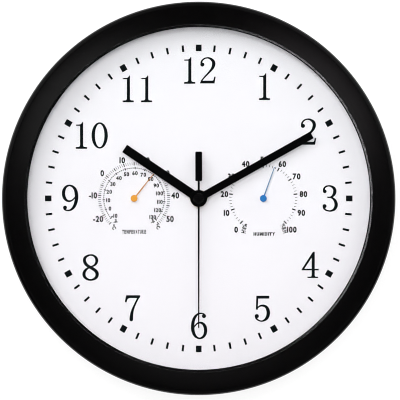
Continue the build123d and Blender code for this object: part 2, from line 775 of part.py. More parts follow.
# Heights inside a gauge unit
gauge_back = dial_back - gauge_depth
gauge_room_back = gauge_back + gauge_wall
gauge_room_front = dial_back - gauge_wall
coil_back = (gauge_room_back + gauge_room_front - coil_width) / 2
coil_front = coil_back + coil_width
coil_start_radius = collet_radius + coil_seat + coil_thickness / 2
coil_step = coil_pitch / 2
coil_end_radius = coil_start_radius + (coil_half_turns - 1) * coil_step
pointer_shaft_front = pointer_back + pointer_hub_height / 2


def gauge_housing():
    """Cup behind the dial that holds a coil: vented back, neck in the dial's hole, post for the coil."""
    cup = disc(gauge_radius, gauge_back, dial_back)
    cup -= disc(gauge_radius - gauge_wall, gauge_room_back, gauge_room_front)
    cup += disc(gauge_neck_radius, dial_back - gauge_wall, dial_front + gauge_neck_proud)
    for place in around(gauge_vent_count, gauge_vent_circle):
        cup -= disc(gauge_vent_radius, gauge_back - overrun, gauge_room_back, place)
    post = (-coil_end_radius - coil_thickness / 2 - coil_seat - coil_post_radius, 0)
    cup += disc(coil_post_radius, coil_back, gauge_room_front, post)
    bore = gauge_arbor_radius + gauge_arbor_fit
    return cup - disc(bore, gauge_back + gauge_wall - gauge_pivot_depth, dial_front + overrun)


def gauge_coil():
    """Strip wound in half turns about two alternating centres, each half turn one step larger."""
    outer, inner = [], []
    for k in range(coil_half_turns):
        centre = coil_step * (k % 2)
        radius = coil_start_radius + k * coil_step
        side = -1 if k % 2 else 1
        for half_turns, offset in ((outer, coil_thickness / 2), (inner, -coil_thickness / 2)):
            reach = radius + offset
            half_turns.append(ThreePointArc((centre + side * reach, 0), (centre, side * reach),
                                            (centre - side * reach, 0)))
    ends = [Line(outer[0] @ 0, inner[0] @ 0), Line(outer[-1] @ 1, inner[-1] @ 1)]
    return extrude(Pos(0, 0, coil_back) * make_face(outer + inner + ends), amount=coil_width)


def gauge_arbor():
    """Shaft from the back pivot to the pointer, with the collet that holds the coil's inner end."""
    shaft = disc(gauge_arbor_radius, gauge_back + gauge_wall - gauge_pivot_depth + end_shake,
                 pointer_shaft_front)
    return shaft + disc(collet_radius, coil_back - end_shake, coil_front + end_shake)


def gauge_pointer(length):
    """Needle pointing up the dial, with its round hub cap."""
    hub = disc(pointer_hub_radius, pointer_back, pointer_back + pointer_hub_height)
    hub = fillet(hub.edges().group_by(Axis.Z)[-1], pointer_hub_round)
    half_base, half_tip = pointer_base_width / 2, pointer_tip_width / 2
    corners = [(-half_base, 0), (half_base, 0), (half_tip, length), (-half_tip, length)]
    needle = extrude(Pos(0, 0, pointer_back) * make_face(Polyline(*corners, close=True)),
                     amount=pointer_thickness)
    bore = disc(gauge_arbor_radius, pointer_back - overrun, pointer_shaft_front)
    return hub + needle - bore


def hand_blank(width, reach, back, front, tube_radius):
    """A straight square-ended hand with its round hub and the collet that grips its tube."""
    blade = block(-width / 2, width / 2, 0, reach, back, front)
    hand = blade + disc(hand_hub_radius, back, front)
    hand += disc(tube_radius + hand_collet_wall, back - hand_collet_depth, back)
    return hand - disc(tube_radius, back - hand_collet_depth - overrun, front + overrun)


def hour_hand():
    """Hour hand, turned to its place on the dial."""
    blank = hand_blank(hour_hand_width, hour_hand_reach, hour_hand_back, hour_hand_front, hour_tube_radius)
    return Rot(0, 0, -hour_hand_angle) * blank


def minute_hand():
    """Minute hand, turned to its place on the dial."""
    blank = hand_blank(minute_hand_width, minute_hand_reach, minute_hand_back, minute_hand_front,
                       minute_tube_radius)
    return Rot(0, 0, -minute_hand_angle) * blank


def second_hand():
    """Tapering needle with a neck and a counterweight behind the hub, and the pipe that fits its shaft."""
    half_base, half_tip = second_hand_base_width / 2, second_hand_tip_width / 2
    needle = make_face(Polyline((-half_base, 0), (half_base, 0), (half_tip, second_hand_reach),
                                (-half_tip, second_hand_reach), close=True))
    half_neck, half_weight = second_hand_neck_width / 2, weight_width / 2
    neck = make_face(Polyline((-half_neck, 0), (half_neck, 0), (half_neck, -weight_end + weight_round),
                              (-half_neck, -weight_end + weight_round), close=True))
    weight = make_face(Polyline((-half_weight + weight_chamfer, -weight_start),
                                (half_weight - weight_chamfer, -weight_start),
                                (half_weight, -weight_start - weight_chamfer), (half_weight, -weight_end),
                                (-half_weight, -weight_end), (-half_weight, -weight_start - weight_chamfer),
                                close=True))
    weight = fillet(weight.vertices().group_by(Axis.Y)[0], weight_round)
    flat = Sketch() + [needle, neck, weight, Circle(second_cap_radius)]
    hand = extrude(Pos(0, 0, second_hand_back) * flat, amount=hand_thickness)
    pipe_radius = second_shaft_radius + hand_collet_wall
    hand += disc(pipe_radius, second_hand_back - hand_collet_depth, second_hand_back)
    hand -= disc(second_shaft_radius, second_hand_back - hand_collet_depth - overrun,
                 second_hand_front + overrun)
    return Rot(0, 0, -second_hand_angle) * hand


def second_hand_cap():
    """Round cap over the middle of the second hand."""
    cap = disc(second_cap_radius, second_hand_front, second_hand_front + second_cap_height)
    return fillet(cap.edges().group_by(Axis.Z)[-1], second_cap_round)


def mounting_bush():
    """Threaded barrel in the front of the movement, with its flange let into the case."""
    bush = disc(bush_flange_radius, room_front, movement_front)
    bush += disc(bush_radius, movement_front, bush_front)
    return bush - disc(bush_bore, room_front - overrun, bush_front + overrun)


def bush_nut():
    """Brass nut that clamps the dial to the movement."""
    nut = extrude(Pos(0, 0, washer_front) * RegularPolygon(nut_across_flats / 2, 6, major_radius=False),
                  amount=nut_thickness)
    return nut - disc(bush_radius + nut_fit, washer_front - overrun, nut_front + overrun)


def dial_washer():
    """Flat washer under the nut."""
    return ring(washer_radius, bush_radius + bush_passage, dial_front, washer_front)


def rubber_gasket():
    """Rubber ring between movement and dial."""
    return ring(gasket_radius, bush_radius + bush_passage, movement_front, dial_back)


def contact_slots():
    """Slots in the wall of the battery bay, where the two contacts pass to the circuit board."""
    low = board_front - contact_slot_fit
    high = board_front + contact_strip_height + contact_slot_fit
    reach = room_half - contact_thickness - contact_slot_fit
    left = block(-room_half, -reach, bay_top - overrun, room_bottom + overrun, low, high)
    right = block(reach, room_half, bay_top - overrun, room_bottom + overrun, low, high)
    return left + right


def movement_case():
    """Front shell of the movement: square body, wheel room, battery bay, posts and front pivot bosses."""
    shell = rounded_plate(movement_width, movement_width, movement_round, movement_wall_gap, movement_front)
    low = movement_wall_gap - overrun
    shell -= block(-room_half, room_half, room_bottom, room_half, low, room_front)
    shell -= block(-room_half, room_half, -half_movement + bay_wall, bay_top, low, room_front)
    shell -= contact_slots()
    for place in plate_post_places:
        shell += disc(post_radius, middle_plate_front, room_front, place)
    shell += disc(wheel_post_radius, minute_wheel_height - end_shake, room_front, minute_wheel_place)
    third_boss_end = third_pinion_height + third_pinion_width + front_boss_gap
    shell += disc(pivot_boss_radius, third_boss_end, room_front, third_place)
    setting_boss_end = setting_pinion_height + setting_pinion_width + front_boss_gap
    shell += disc(pivot_boss_radius, setting_boss_end, room_front, setting_place)
    shell -= disc(pivot_bore, third_boss_end - overrun, third_boss_end + 2 * pivot_length, third_place)
    setting_bore = setting_pivot_radius + pivot_fit
    shell -= disc(setting_bore, setting_boss_end - overrun, setting_boss_end + 2 * pivot_length,
                  setting_place)
    return shell - disc(bush_flange_radius + bush_flange_fit, room_front - overrun, movement_front + overrun)


knob_front = knob_height + knob_thickness
knob_floor_back = knob_front + end_shake
knob_floor_front = knob_floor_back + knob_floor
knob_recess_radius = knob_radius + knob_recess_fit
boss_front = back_inner + pivot_boss_height


def movement_back():
    """Rear plate of the movement: pivot bosses, posts and the sunk seat of the setting knob."""
    fit = movement_back_fit
    plate = block(-room_half + fit, room_half - fit, room_bottom + fit, room_half - fit, movement_wall_gap,
                  back_inner)
    plate += disc(knob_recess_radius + knob_floor, movement_wall_gap, knob_floor_front, setting_place)
    for place in (dial_centre, intermediate_place, rotor_place, third_place):
        plate += disc(pivot_boss_radius, movement_wall_gap, boss_front, place)
    for place in plate_post_places:
        plate += disc(post_radius, movement_wall_gap, middle_plate_height, place)
    for place in board_post_places:
        plate += disc(post_radius, movement_wall_gap, board_height, place)
    for place in (stator_left, stator_right):
        plate += disc(stator_leg_width / 2, movement_wall_gap, stator_height, place)
    for place in (dial_centre, intermediate_place, rotor_place, third_place):
        plate -= disc(pivot_bore, boss_front - 2 * pivot_length, boss_front + overrun, place)
    for place in (stator_left, stator_right):
        plate -= disc(motor_screw_radius + motor_screw_fit, stator_height - motor_screw_length,
                      stator_height + overrun, place)
    plate -= disc(knob_recess_radius, movement_wall_gap - overrun, knob_floor_back, setting_place)
    return plate - disc(setting_shaft_radius + pivot_fit, knob_floor_back - overrun,
                        knob_floor_front + overrun, setting_place)


def middle_plate():
    """Plate between the seconds train and the centre wheel; it holds the front pivots of two arbors."""
    plate = block(plate_left, plate_right, plate_bottom, plate_top, middle_plate_height, middle_plate_front)
    low, high = middle_plate_height - overrun, middle_plate_front + overrun
    pinion_tip = pitch_radius(third_pinion_teeth, third_module) + third_module
    plate -= disc(pinion_tip, low, high, third_place)
    plate -= disc(second_shaft_radius + tube_fit, low, high)
    plate -= disc(setting_shaft_radius + pivot_fit, low, high, setting_place)
    for place in (intermediate_place, rotor_place):
        plate -= disc(pivot_bore, low, high, place)
    return plate


def gear(teeth, module, shares, back, front, place, phase):
    """A toothed wheel: one tooth points along the phase angle in degrees."""
    radius = pitch_radius(teeth, module)
    corners = []
    for k in range(teeth):
        middle = radians(phase + 360 * k / teeth)
        sides = [(-half, rise) for half, rise in shares] + [(half, rise) for half, rise in reversed(shares)]
        for half, rise in sides:
            reach = radius + rise * module
            angle = middle + half * module / reach
            corners.append((place[0] + reach * cos(angle), place[1] + reach * sin(angle)))
    return extrude(Pos(0, 0, back) * make_face(Polyline(*corners, close=True)), amount=front - back)


def meshing_phase(teeth, mate_teeth, mate_phase, direction):
    """Phase of a wheel that meshes with a mate: direction is the angle from the mate's arbor to this one."""
    share = (direction - mate_phase) * mate_teeth / 360
    return direction + 180 - (0.5 - share) * 360 / teeth


def direction_between(start, end):
    """Angle in degrees from one place to another."""
    return degrees(atan2(end[1] - start[1], end[0] - start[0]))


# Phases along the train. Each pinion may sit at any angle on its own arbor, so one tooth starts each pair.
intermediate_pinion_phase = intermediate_angle + 180
seconds_wheel_phase = meshing_phase(seconds_wheel_teeth, intermediate_pinion_teeth, intermediate_pinion_phase,
                                    intermediate_angle + 180)
rotor_pinion_phase = rotor_angle + 180
intermediate_wheel_phase = meshing_phase(intermediate_wheel_teeth, rotor_pinion_teeth, rotor_pinion_phase,
                                         rotor_angle + 180)
seconds_pinion_phase = third_angle
third_wheel_phase = meshing_phase(third_wheel_teeth, seconds_pinion_teeth, seconds_pinion_phase, third_angle)
third_pinion_phase = third_angle + 180
centre_wheel_phase = meshing_phase(centre_wheel_teeth, third_pinion_teeth, third_pinion_phase,
                                   third_angle + 180)
cannon_pinion_phase = minute_wheel_angle
minute_wheel_phase = meshing_phase(minute_wheel_teeth, cannon_pinion_teeth, cannon_pinion_phase,
                                   minute_wheel_angle)
minute_pinion_phase = minute_wheel_angle + 180
hour_wheel_phase = meshing_phase(hour_wheel_teeth, minute_pinion_teeth, minute_pinion_phase,
                                 minute_wheel_angle + 180)
setting_pinion_phase = meshing_phase(setting_pinion_teeth, minute_wheel_teeth, minute_wheel_phase,
                                     setting_angle)

rear_pivot_start = boss_front - pivot_length
front_pivot_end = middle_plate_height + pivot_length


def arbor(back, front, place):
    """A thin arbor with a finer pivot at each end."""
    body = disc(arbor_radius, back + pivot_length + end_shake, front - pivot_length - end_shake, place)
    return body + disc(pivot_radius, back, front, place)


def rotor():
    """Rotor arbor with its pinion and the hub that carries the magnet."""
    piece = arbor(rear_pivot_start, front_pivot_end, rotor_place)
    piece += gear(rotor_pinion_teeth, rotor_module, pinion_tooth_shares, rotor_pinion_height,
                  rotor_pinion_height + rotor_pinion_width, rotor_place, rotor_pinion_phase)
    return piece + disc(magnet_hub_radius, rotor_pinion_height + rotor_pinion_width,
                        magnet_height + magnet_length, rotor_place)


def rotor_magnet():
    """Round permanent magnet on the rotor's hub."""
    return ring(magnet_radius, magnet_hub_radius, magnet_height, magnet_height + magnet_length, rotor_place)


def intermediate_wheel():
    """Wheel and pinion between the rotor and the seconds wheel."""
    piece = arbor(rear_pivot_start, front_pivot_end, intermediate_place)
    piece += gear(intermediate_wheel_teeth, rotor_module, wheel_tooth_shares, intermediate_wheel_height,
                  intermediate_wheel_height + wheel_thickness, intermediate_place, intermediate_wheel_phase)
    return piece + gear(intermediate_pinion_teeth, intermediate_module, pinion_tooth_shares,
                        intermediate_wheel_height + wheel_thickness,
                        intermediate_pinion_height + intermediate_pinion_width, intermediate_place,
                        intermediate_pinion_phase)


def seconds_wheel():
    """Seconds wheel and pinion on the long shaft that carries the second hand."""
    piece = disc(second_shaft_radius, rear_pivot_start + pivot_length + end_shake, second_hand_front)
    piece += disc(pivot_radius, rear_pivot_start, boss_front + end_shake)
    piece += gear(seconds_wheel_teeth, intermediate_module, wheel_tooth_shares, seconds_wheel_height,
                  seconds_wheel_height + wheel_thickness, dial_centre, seconds_wheel_phase)
    return piece + gear(seconds_pinion_teeth, seconds_module, pinion_tooth_shares,
                        seconds_wheel_height + wheel_thickness, seconds_pinion_height + seconds_pinion_width,
                        dial_centre, seconds_pinion_phase)


def third_wheel():
    """Third wheel below the middle plate, its pinion above."""
    pinion_front = third_pinion_height + third_pinion_width
    piece = arbor(rear_pivot_start, pinion_front + pivot_length + front_boss_gap, third_place)
    piece += gear(third_wheel_teeth, seconds_module, wheel_tooth_shares, third_wheel_height,
                  third_wheel_height + wheel_thickness, third_place, third_wheel_phase)
    return piece + gear(third_pinion_teeth, third_module, pinion_tooth_shares, third_pinion_height,
                        pinion_front, third_place, third_pinion_phase)


def centre_wheel():
    """Centre wheel with the cannon pinion and the tube that carries the minute hand."""
    back = middle_plate_front + end_shake
    piece = disc(minute_tube_radius, back, minute_tube_front)
    piece += gear(centre_wheel_teeth, third_module, wheel_tooth_shares, centre_wheel_height,
                  cannon_pinion_height, dial_centre, centre_wheel_phase)
    piece += gear(cannon_pinion_teeth, cannon_module, pinion_tooth_shares, cannon_pinion_height,
                  cannon_pinion_height + cannon_pinion_width, dial_centre, cannon_pinion_phase)
    return piece - disc(minute_bore, back - overrun, minute_tube_front + overrun)


def minute_wheel():
    """Motion-work wheel and pinion, turning on a post of the case."""
    wheel_front = minute_wheel_height + minute_wheel_thickness
    piece = gear(minute_wheel_teeth, cannon_module, wheel_tooth_shares, minute_wheel_height, wheel_front,
                 minute_wheel_place, minute_wheel_phase)
    piece += gear(minute_pinion_teeth, minute_module, pinion_tooth_shares, wheel_front,
                  room_front - end_shake, minute_wheel_place, minute_pinion_phase)
    return piece - disc(wheel_post_radius + pivot_fit, minute_wheel_height - overrun, room_front,
                        minute_wheel_place)


def hour_wheel():
    """Hour wheel with the tube that carries the hour hand."""
    piece = gear(hour_wheel_teeth, minute_module, wheel_tooth_shares, hour_wheel_height,
                 hour_wheel_height + hour_wheel_thickness, dial_centre, hour_wheel_phase)
    piece += disc(hour_tube_radius, hour_wheel_height, hour_tube_front)
    return piece - disc(hour_bore, hour_wheel_height - overrun, hour_tube_front + overrun)


def setting_pinion():
    """Shaft and pinion that let the knob turn the hands."""
    pinion_front = setting_pinion_height + setting_pinion_width
    piece = disc(setting_shaft_radius, knob_height, setting_pinion_height, setting_place)
    piece += gear(setting_pinion_teeth, cannon_module, pinion_tooth_shares, setting_pinion_height,
                  pinion_front, setting_place, setting_pinion_phase)
    return piece + disc(setting_pivot_radius, setting_pinion_height,
                        pinion_front + pivot_length + front_boss_gap, setting_place)


def setting_knob():
    """Grooved knob at the back that sets the hands."""
    across, up = setting_place
    knob = ring(knob_radius, setting_shaft_radius, knob_height, knob_front)
    for groove_across, groove_up in around(knob_grip_count, knob_radius):
        knob -= disc(knob_grip_radius, knob_height - overrun, knob_front + overrun,
                     (groove_across, groove_up))
    return Pos(across, up, 0) * knob


def stator():
    """Iron plate of the motor: a ring round the magnet and two legs to the ends of the coil."""
    front = stator_height + stator_thickness
    hole = magnet_radius + air_gap
    across, up = rotor_place
    plate = disc(hole + stator_ring_width, stator_height, front, rotor_place)
    for side, end in ((-1, stator_left), (1, stator_right)):
        start = (across + side * stator_leg_inset, up + stator_leg_rise)
        plate += capsule(start, end, stator_leg_width, stator_height, front)
        plate -= disc(motor_screw_radius + motor_screw_fit, stator_height - overrun, front + overrun, end)
    return plate - disc(hole, stator_height - overrun, front + overrun, rotor_place)


core_back = stator_height + stator_thickness
core_front = core_back + core_thickness
core_middle = (core_back + core_front) / 2


def coil_core():
    """Iron bar through the coil, screwed down on the stator's legs."""
    bar = capsule(stator_left, stator_right, core_width, core_back, core_front)
    for place in (stator_left, stator_right):
        bar -= disc(motor_screw_radius + motor_screw_fit, core_back - overrun, core_front + overrun, place)
    return bar


def along_coil(radius, start, end):
    """A cylinder on the coil's own axis between two places across."""
    middle = Pos((start + end) / 2, coil_up, core_middle)
    return middle * Rot(0, 90, 0) * Cylinder(radius, end - start)


def coil_bobbin():
    """Moulded bobbin with a flange at each end."""
    left = coil_centre_across - bobbin_length / 2
    right = coil_centre_across + bobbin_length / 2
    piece = along_coil(bobbin_tube_radius, left, right)
    piece += along_coil(bobbin_flange_radius, left, left + bobbin_flange_thickness)
    piece += along_coil(bobbin_flange_radius, right - bobbin_flange_thickness, right)
    half_width = core_width / 2 + bobbin_fit
    return piece - block(left - overrun, right + overrun, coil_up - half_width, coil_up + half_width,
                         core_back - bobbin_fit, core_front + bobbin_fit)


def coil_winding():
    """The copper winding between the flanges."""
    left = coil_centre_across - bobbin_length / 2 + bobbin_flange_thickness
    right = coil_centre_across + bobbin_length / 2 - bobbin_flange_thickness
    return along_coil(winding_radius, left, right) - along_coil(bobbin_tube_radius, left - overrun,
                                                                right + overrun)


def motor_screws():
    """The two screws that hold the coil core and the stator."""
    screws = []
    for across, up in (stator_left, stator_right):
        head = disc(motor_screw_head_radius, core_front, core_front + motor_screw_head_height)
        slot = block(-motor_screw_head_radius, motor_screw_head_radius, -screw_slot_width / 4,
                     screw_slot_width / 4, core_front + motor_screw_head_height / 2,
                     core_front + motor_screw_head_height + overrun)
        shank_back = stator_height - motor_screw_length + end_shake
        screws.append(Pos(across, up, 0) * (head - slot + disc(motor_screw_radius, shank_back, core_front)))
    return Part() + screws


def circuit_board():
    """Narrow board beside the train, located on the posts that pass through it."""
    board = block(board_left, board_left + board_width, board_bottom, board_bottom + board_length,
                  board_height, board_front)
    for place in plate_post_places[:2]:
        board -= disc(post_radius + board_post_fit, board_height - overrun, board_front + overrun, place)
    return board


def quartz_crystal():
    """Small can of the quartz crystal, lying on the board."""
    can = Rot(90, 0, 0) * Cylinder(crystal_radius, crystal_length)
    return Pos(*crystal_place, board_front + crystal_radius) * can


def driver_chip():
    """Domed resin blob over the driver chip."""
    blob = disc(chip_radius, board_front, board_front + chip_height, chip_place)
    return fillet(blob.edges().group_by(Axis.Z)[-1], chip_height * 2 / 3)


def battery():
    """One AA cell, its nub to the left."""
    body_start = battery_tip + battery_nub_height
    length = battery_end - body_start
    body = Cylinder(battery_radius, length)
    body = fillet(body.edges().filter_by(GeomType.CIRCLE), battery_edge_round)
    cell = Pos((body_start + battery_end) / 2, 0, 0) * Rot(0, 90, 0) * body
    nub = Pos((battery_tip + body_start) / 2, 0, 0) * Rot(0, 90, 0) * Cylinder(battery_nub_radius,
                                                                            battery_nub_height)
    return Pos(0, battery_up, battery_centre_height) * (cell + nub)


contact_low = battery_centre_height - contact_plate_height / 2
contact_high = battery_centre_height + contact_plate_height / 2
strip_front = board_front + contact_strip_height


def contact_positive():
    """Plate at the battery's nub, with the strip that passes through the bay wall to the board."""
    inner = -room_half + contact_thickness
    plate = block(-room_half, inner, battery_up - contact_plate_length / 2,
                  battery_up + contact_plate_length / 2, contact_low, contact_high)
    strip = block(-room_half, inner, battery_up, board_bottom + contact_foot, board_front, strip_front)
    foot = block(-room_half, -room_half + contact_foot, board_bottom, board_bottom + contact_foot,
                 board_front, board_front + contact_thickness)
    return plate + strip + foot


def contact_negative():
    """Bowed spring at the battery's flat end, with the long strip beside the bay wall to the board."""
    inner = room_half - contact_thickness
    half = contact_plate_length / 2
    piece = block(inner, room_half, battery_up - half, room_bottom + contact_gap + contact_thickness,
                  board_front, strip_front)
    piece += block(inner, room_half, battery_up - half, battery_up + half, contact_low, contact_high)
    tip = battery_end + contact_gap
    outer_arc = ThreePointArc((inner, battery_up - half), (tip, battery_up), (inner, battery_up + half))
    thickness = spring_leaf_thickness
    inner_arc = ThreePointArc((inner, battery_up - half + 2 * thickness), (tip + thickness, battery_up),
                              (inner, battery_up + half - 2 * thickness))
    ends = [Line(outer_arc @ 0, inner_arc @ 0), Line(outer_arc @ 1, inner_arc @ 1)]
    leaf = extrude(Pos(0, 0, contact_low) * make_face([outer_arc, inner_arc] + ends),
                   amount=contact_plate_height)
    piece += leaf
    strip_low = room_bottom + contact_gap
    foot_left = -negative_foot_offset - contact_foot
    piece += block(foot_left, room_half, strip_low, strip_low + contact_thickness, board_front, strip_front)
    return piece + block(foot_left, foot_left + contact_foot, strip_low, board_bottom + contact_foot,
                         board_front, board_front + contact_thickness)


def gauge_parts(name, side, pointer_length, pointer_angle):
    """All pieces of one gauge unit, by node name. The arbor, coil and pointer turn with the reading."""
    spot = Pos(side * gauge_offset, 0, 0)
    turn = Rot(0, 0, -pointer_angle)
    return {
        name + "_housing": spot * gauge_housing(),
        name + "_coil": spot * gauge_coil(),
        name + "_arbor": spot * gauge_arbor(),
        name + "_pointer": spot * turn * gauge_pointer(pointer_length)}


def all_parts():
    """Every piece by node name, still face up."""
    makers = [
        bezel_frame, lens, spacer_ring, dial, hour_numerals, minute_marks, rear_cover, case_screws,
        hanger_plate, hanger_screws, hour_hand, minute_hand, second_hand, second_hand_cap, mounting_bush,
        bush_nut, dial_washer, rubber_gasket, movement_case, movement_back, middle_plate, rotor,
        rotor_magnet, intermediate_wheel, seconds_wheel, third_wheel, centre_wheel, minute_wheel, hour_wheel,
        setting_pinion, setting_knob, stator, coil_core, coil_bobbin, coil_winding, motor_screws,
        circuit_board, quartz_crystal, driver_chip, battery, contact_positive, contact_negative]
    parts = {maker.__name__: maker() for maker in makers}
    parts.update(gauge_parts("thermometer", -1, thermometer_pointer_length, thermometer_pointer_angle))
    parts.update(gauge_parts("hygrometer", 1, hygrometer_pointer_length, hygrometer_pointer_angle))
    return parts


os.makedirs("parts", exist_ok=True)
for node, shape in all_parts().items():
    export_step(Rot(90, 0, 0) * shape, "parts/" + node + ".step")
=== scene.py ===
"""A round wall clock with a thermometer and a hygrometer in its dial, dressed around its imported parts.

A piece that is drawn here lies face up, in millimetres: X to the right, Y up the dial and Z off the wall. Its
last step stands it up in the clock's own frame, in metres, where the face looks along -Y. The other pieces
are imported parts, as they are or with softened edges.
"""

from __future__ import annotations

import json
import logging
from dataclasses import dataclass
from enum import Enum
from math import cos, pi, radians, sin
from typing import Callable, ClassVar, Sequence, Union

import bmesh
import bpy
from mathutils import Matrix, Vector

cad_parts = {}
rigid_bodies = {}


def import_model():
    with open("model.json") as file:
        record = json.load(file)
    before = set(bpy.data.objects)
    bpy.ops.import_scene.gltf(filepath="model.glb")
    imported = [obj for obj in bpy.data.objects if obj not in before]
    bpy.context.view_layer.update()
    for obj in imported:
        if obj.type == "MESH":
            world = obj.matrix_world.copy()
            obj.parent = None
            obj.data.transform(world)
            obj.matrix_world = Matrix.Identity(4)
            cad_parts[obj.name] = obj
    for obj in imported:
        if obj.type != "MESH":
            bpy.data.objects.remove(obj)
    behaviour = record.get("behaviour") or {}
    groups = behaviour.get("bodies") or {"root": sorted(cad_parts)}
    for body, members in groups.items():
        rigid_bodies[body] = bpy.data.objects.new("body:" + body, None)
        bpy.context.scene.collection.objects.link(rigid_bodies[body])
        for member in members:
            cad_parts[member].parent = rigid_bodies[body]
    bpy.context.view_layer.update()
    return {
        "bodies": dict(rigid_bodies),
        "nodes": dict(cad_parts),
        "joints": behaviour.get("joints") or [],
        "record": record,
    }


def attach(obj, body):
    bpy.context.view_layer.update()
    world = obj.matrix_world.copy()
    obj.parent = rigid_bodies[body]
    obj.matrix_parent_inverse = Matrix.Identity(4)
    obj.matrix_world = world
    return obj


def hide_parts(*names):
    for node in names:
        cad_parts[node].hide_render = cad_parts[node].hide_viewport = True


LOG = logging.getLogger("clock")
MM = 0.001
STAND_UP = Matrix(((MM, 0, 0, 0), (0, 0, -MM, 0), (0, MM, 0, 0), (0, 0, 0, 1)))
SHARP_ANGLE = radians(32)
MERGE_DISTANCE = 0.0005
SAME_PLACE = 1e-6
PIXEL_FILTER = 1.0
WHITE = (1.0, 1.0, 1.0, 1.0)

Number = Union[int, float]
Colour = tuple[float, float, float]
Place = tuple[float, float]
Spot = tuple[float, float, float]


class Body(Enum):
    """The bodies that the pieces of the scene ride on."""

    CASE = "case"
    SECONDS = "seconds"
    MINUTES = "minutes"
    HOURS = "hours"
    THERMOMETER = "thermometer_needle"
    HYGROMETER = "hygrometer_needle"
    SETTER = "hand_setter"
    BATTERY = "battery"


class Slot(Enum):
    """The finishes of the clock, by the name of their material slot."""

    CASE = "case_black"
    GLASS = "lens_glass"
    DIAL = "dial_white"
    INK = "dial_ink"
    HAND = "hand_black"
    CAP = "cap_black"
    ORANGE = "thermometer_orange"
    BLUE = "hygrometer_blue"
    BRASS = "brass"
    WASHER = "washer_steel"
    RUBBER = "gasket_rubber"
    MOVEMENT = "movement_black"
    ACETAL = "inner_plastic"
    RED = "setting_red"
    FERRITE = "magnet"
    LAMINATION = "motor_steel"
    SCREW = "screw_steel"
    WIRE = "copper_wire"
    BOARD = "board_green"
    CAN = "crystal_can"
    RESIN = "chip_resin"
    SLEEVE = "battery_sleeve"
    NICKEL = "contact_nickel"
    STRIP = "coil_strip"
    LAMINATE = "coil_laminate"
    CUP = "gauge_cup"


class Grain(Enum):
    """How much finer the marks of a metal surface are along X, Y and Z."""

    ACROSS = (12.0, 1.0, 1.0)
    UP = (1.0, 1.0, 12.0)
    EVEN = (1.0, 1.0, 1.0)


class Reach(Enum):
    """What a lamp shows on: matt surfaces, glossy ones."""

    MATT = (True, False)
    GLOSS = (False, True)
    BOTH = (True, True)


# Node graphs, shared by the materials, the world and the Geometry Nodes trees


def operator(operation: str, reflected: bool = False) -> Callable[[Wire, Wire | Number], Wire]:
    """Makes an operator of wires that adds one Math node.

    Args:
        operation: The Math node's operation.
        reflected: Whether the wire stands on the right of the sign.

    Returns:
        The operator.
    """
    def add_node(wire: Wire, other: Wire | Number = 0.0) -> Wire:
        """Adds the Math node."""
        first, second = (other, wire) if reflected else (wire, other)
        return wire.graph.node("ShaderNodeMath", {"operation": operation}, {0: first, 1: second})

    return add_node


@dataclass(frozen=True)
class Wire:
    """A node's socket that Python's operators work on. Angles are in radians."""

    graph: Graph
    socket: bpy.types.NodeSocket | None

    __add__ = operator("ADD")
    __radd__ = operator("ADD", reflected=True)
    __sub__ = operator("SUBTRACT")
    __rsub__ = operator("SUBTRACT", reflected=True)
    __mul__ = operator("MULTIPLY")
    __rmul__ = operator("MULTIPLY", reflected=True)
    __truediv__ = operator("DIVIDE")
    __rtruediv__ = operator("DIVIDE", reflected=True)
    __lt__ = operator("LESS_THAN")
    __gt__ = operator("GREATER_THAN")
    largest = operator("MAXIMUM")
    sine = operator("SINE")
    cosine = operator("COSINE")


class Graph:
    """A node tree with one way of adding nodes to it."""

    def __init__(self, tree: bpy.types.NodeTree) -> None:
        """Takes over a tree."""
        self.tree = tree

    def node(self, kind: str, settings: dict | None = None, sockets: dict | None = None,
             output: int | str = 0) -> Wire:
        """Adds a node, sets it up and joins it to the others.

        Args:
            kind: The node's type.
            settings: Its properties by name.
            sockets: Values or wires for its inputs, by name or index.
            output: The output to return, by name or index.

        Returns:
            The chosen output, or a wire without a socket where the node ends its tree.
        """
        made = self.tree.nodes.new(kind)
        for name, value in (settings or {}).items():
            setattr(made, name, value)
        for key, value in (sockets or {}).items():
            if isinstance(value, Wire):
                self.tree.links.new(value.socket, made.inputs[key])
            else:
                made.inputs[key].default_value = value
        return Wire(self, made.outputs[output] if len(made.outputs) else None)

    def flattened(self, vector: Wire) -> Wire:
        """What is left of a vector along the clock's face."""
        return self.node("ShaderNodeVectorMath", {"operation": "MULTIPLY"}, {0: vector, 1: (1.0, 0.0, 1.0)})

    def length(self, vector: Wire) -> Wire:
        """A vector's length."""
        return self.node("ShaderNodeVectorMath", {"operation": "LENGTH"}, {0: vector}, output="Value")

    def towards(self, vector: Wire, across: float, up: float) -> Wire:
        """How far a vector reaches in a direction of the clock's face."""
        return self.node("ShaderNodeVectorMath", {"operation": "DOT_PRODUCT"},
                         {0: vector, 1: (across, 0.0, up)}, output="Value")

    def rise(self, value: Wire, ends: Place, top: float = 1.0) -> Wire:
        """A smooth rise from 0 to a top value while a value goes from one end to the other."""
        return self.node("ShaderNodeMapRange", {"interpolation_type": "SMOOTHSTEP"},
                         {"Value": value, "From Min": ends[0], "From Max": ends[1], "To Max": top})

    def part(self, vector: Wire, axis: str) -> Wire:
        """A vector's part along one axis."""
        return self.node("ShaderNodeSeparateXYZ", {}, {"Vector": vector}, output=axis)

    def ray(self, kind: str) -> Wire:
        """1 where the light path's ray is of a kind, else 0."""
        return self.node("ShaderNodeLightPath", output=f"Is {kind} Ray")


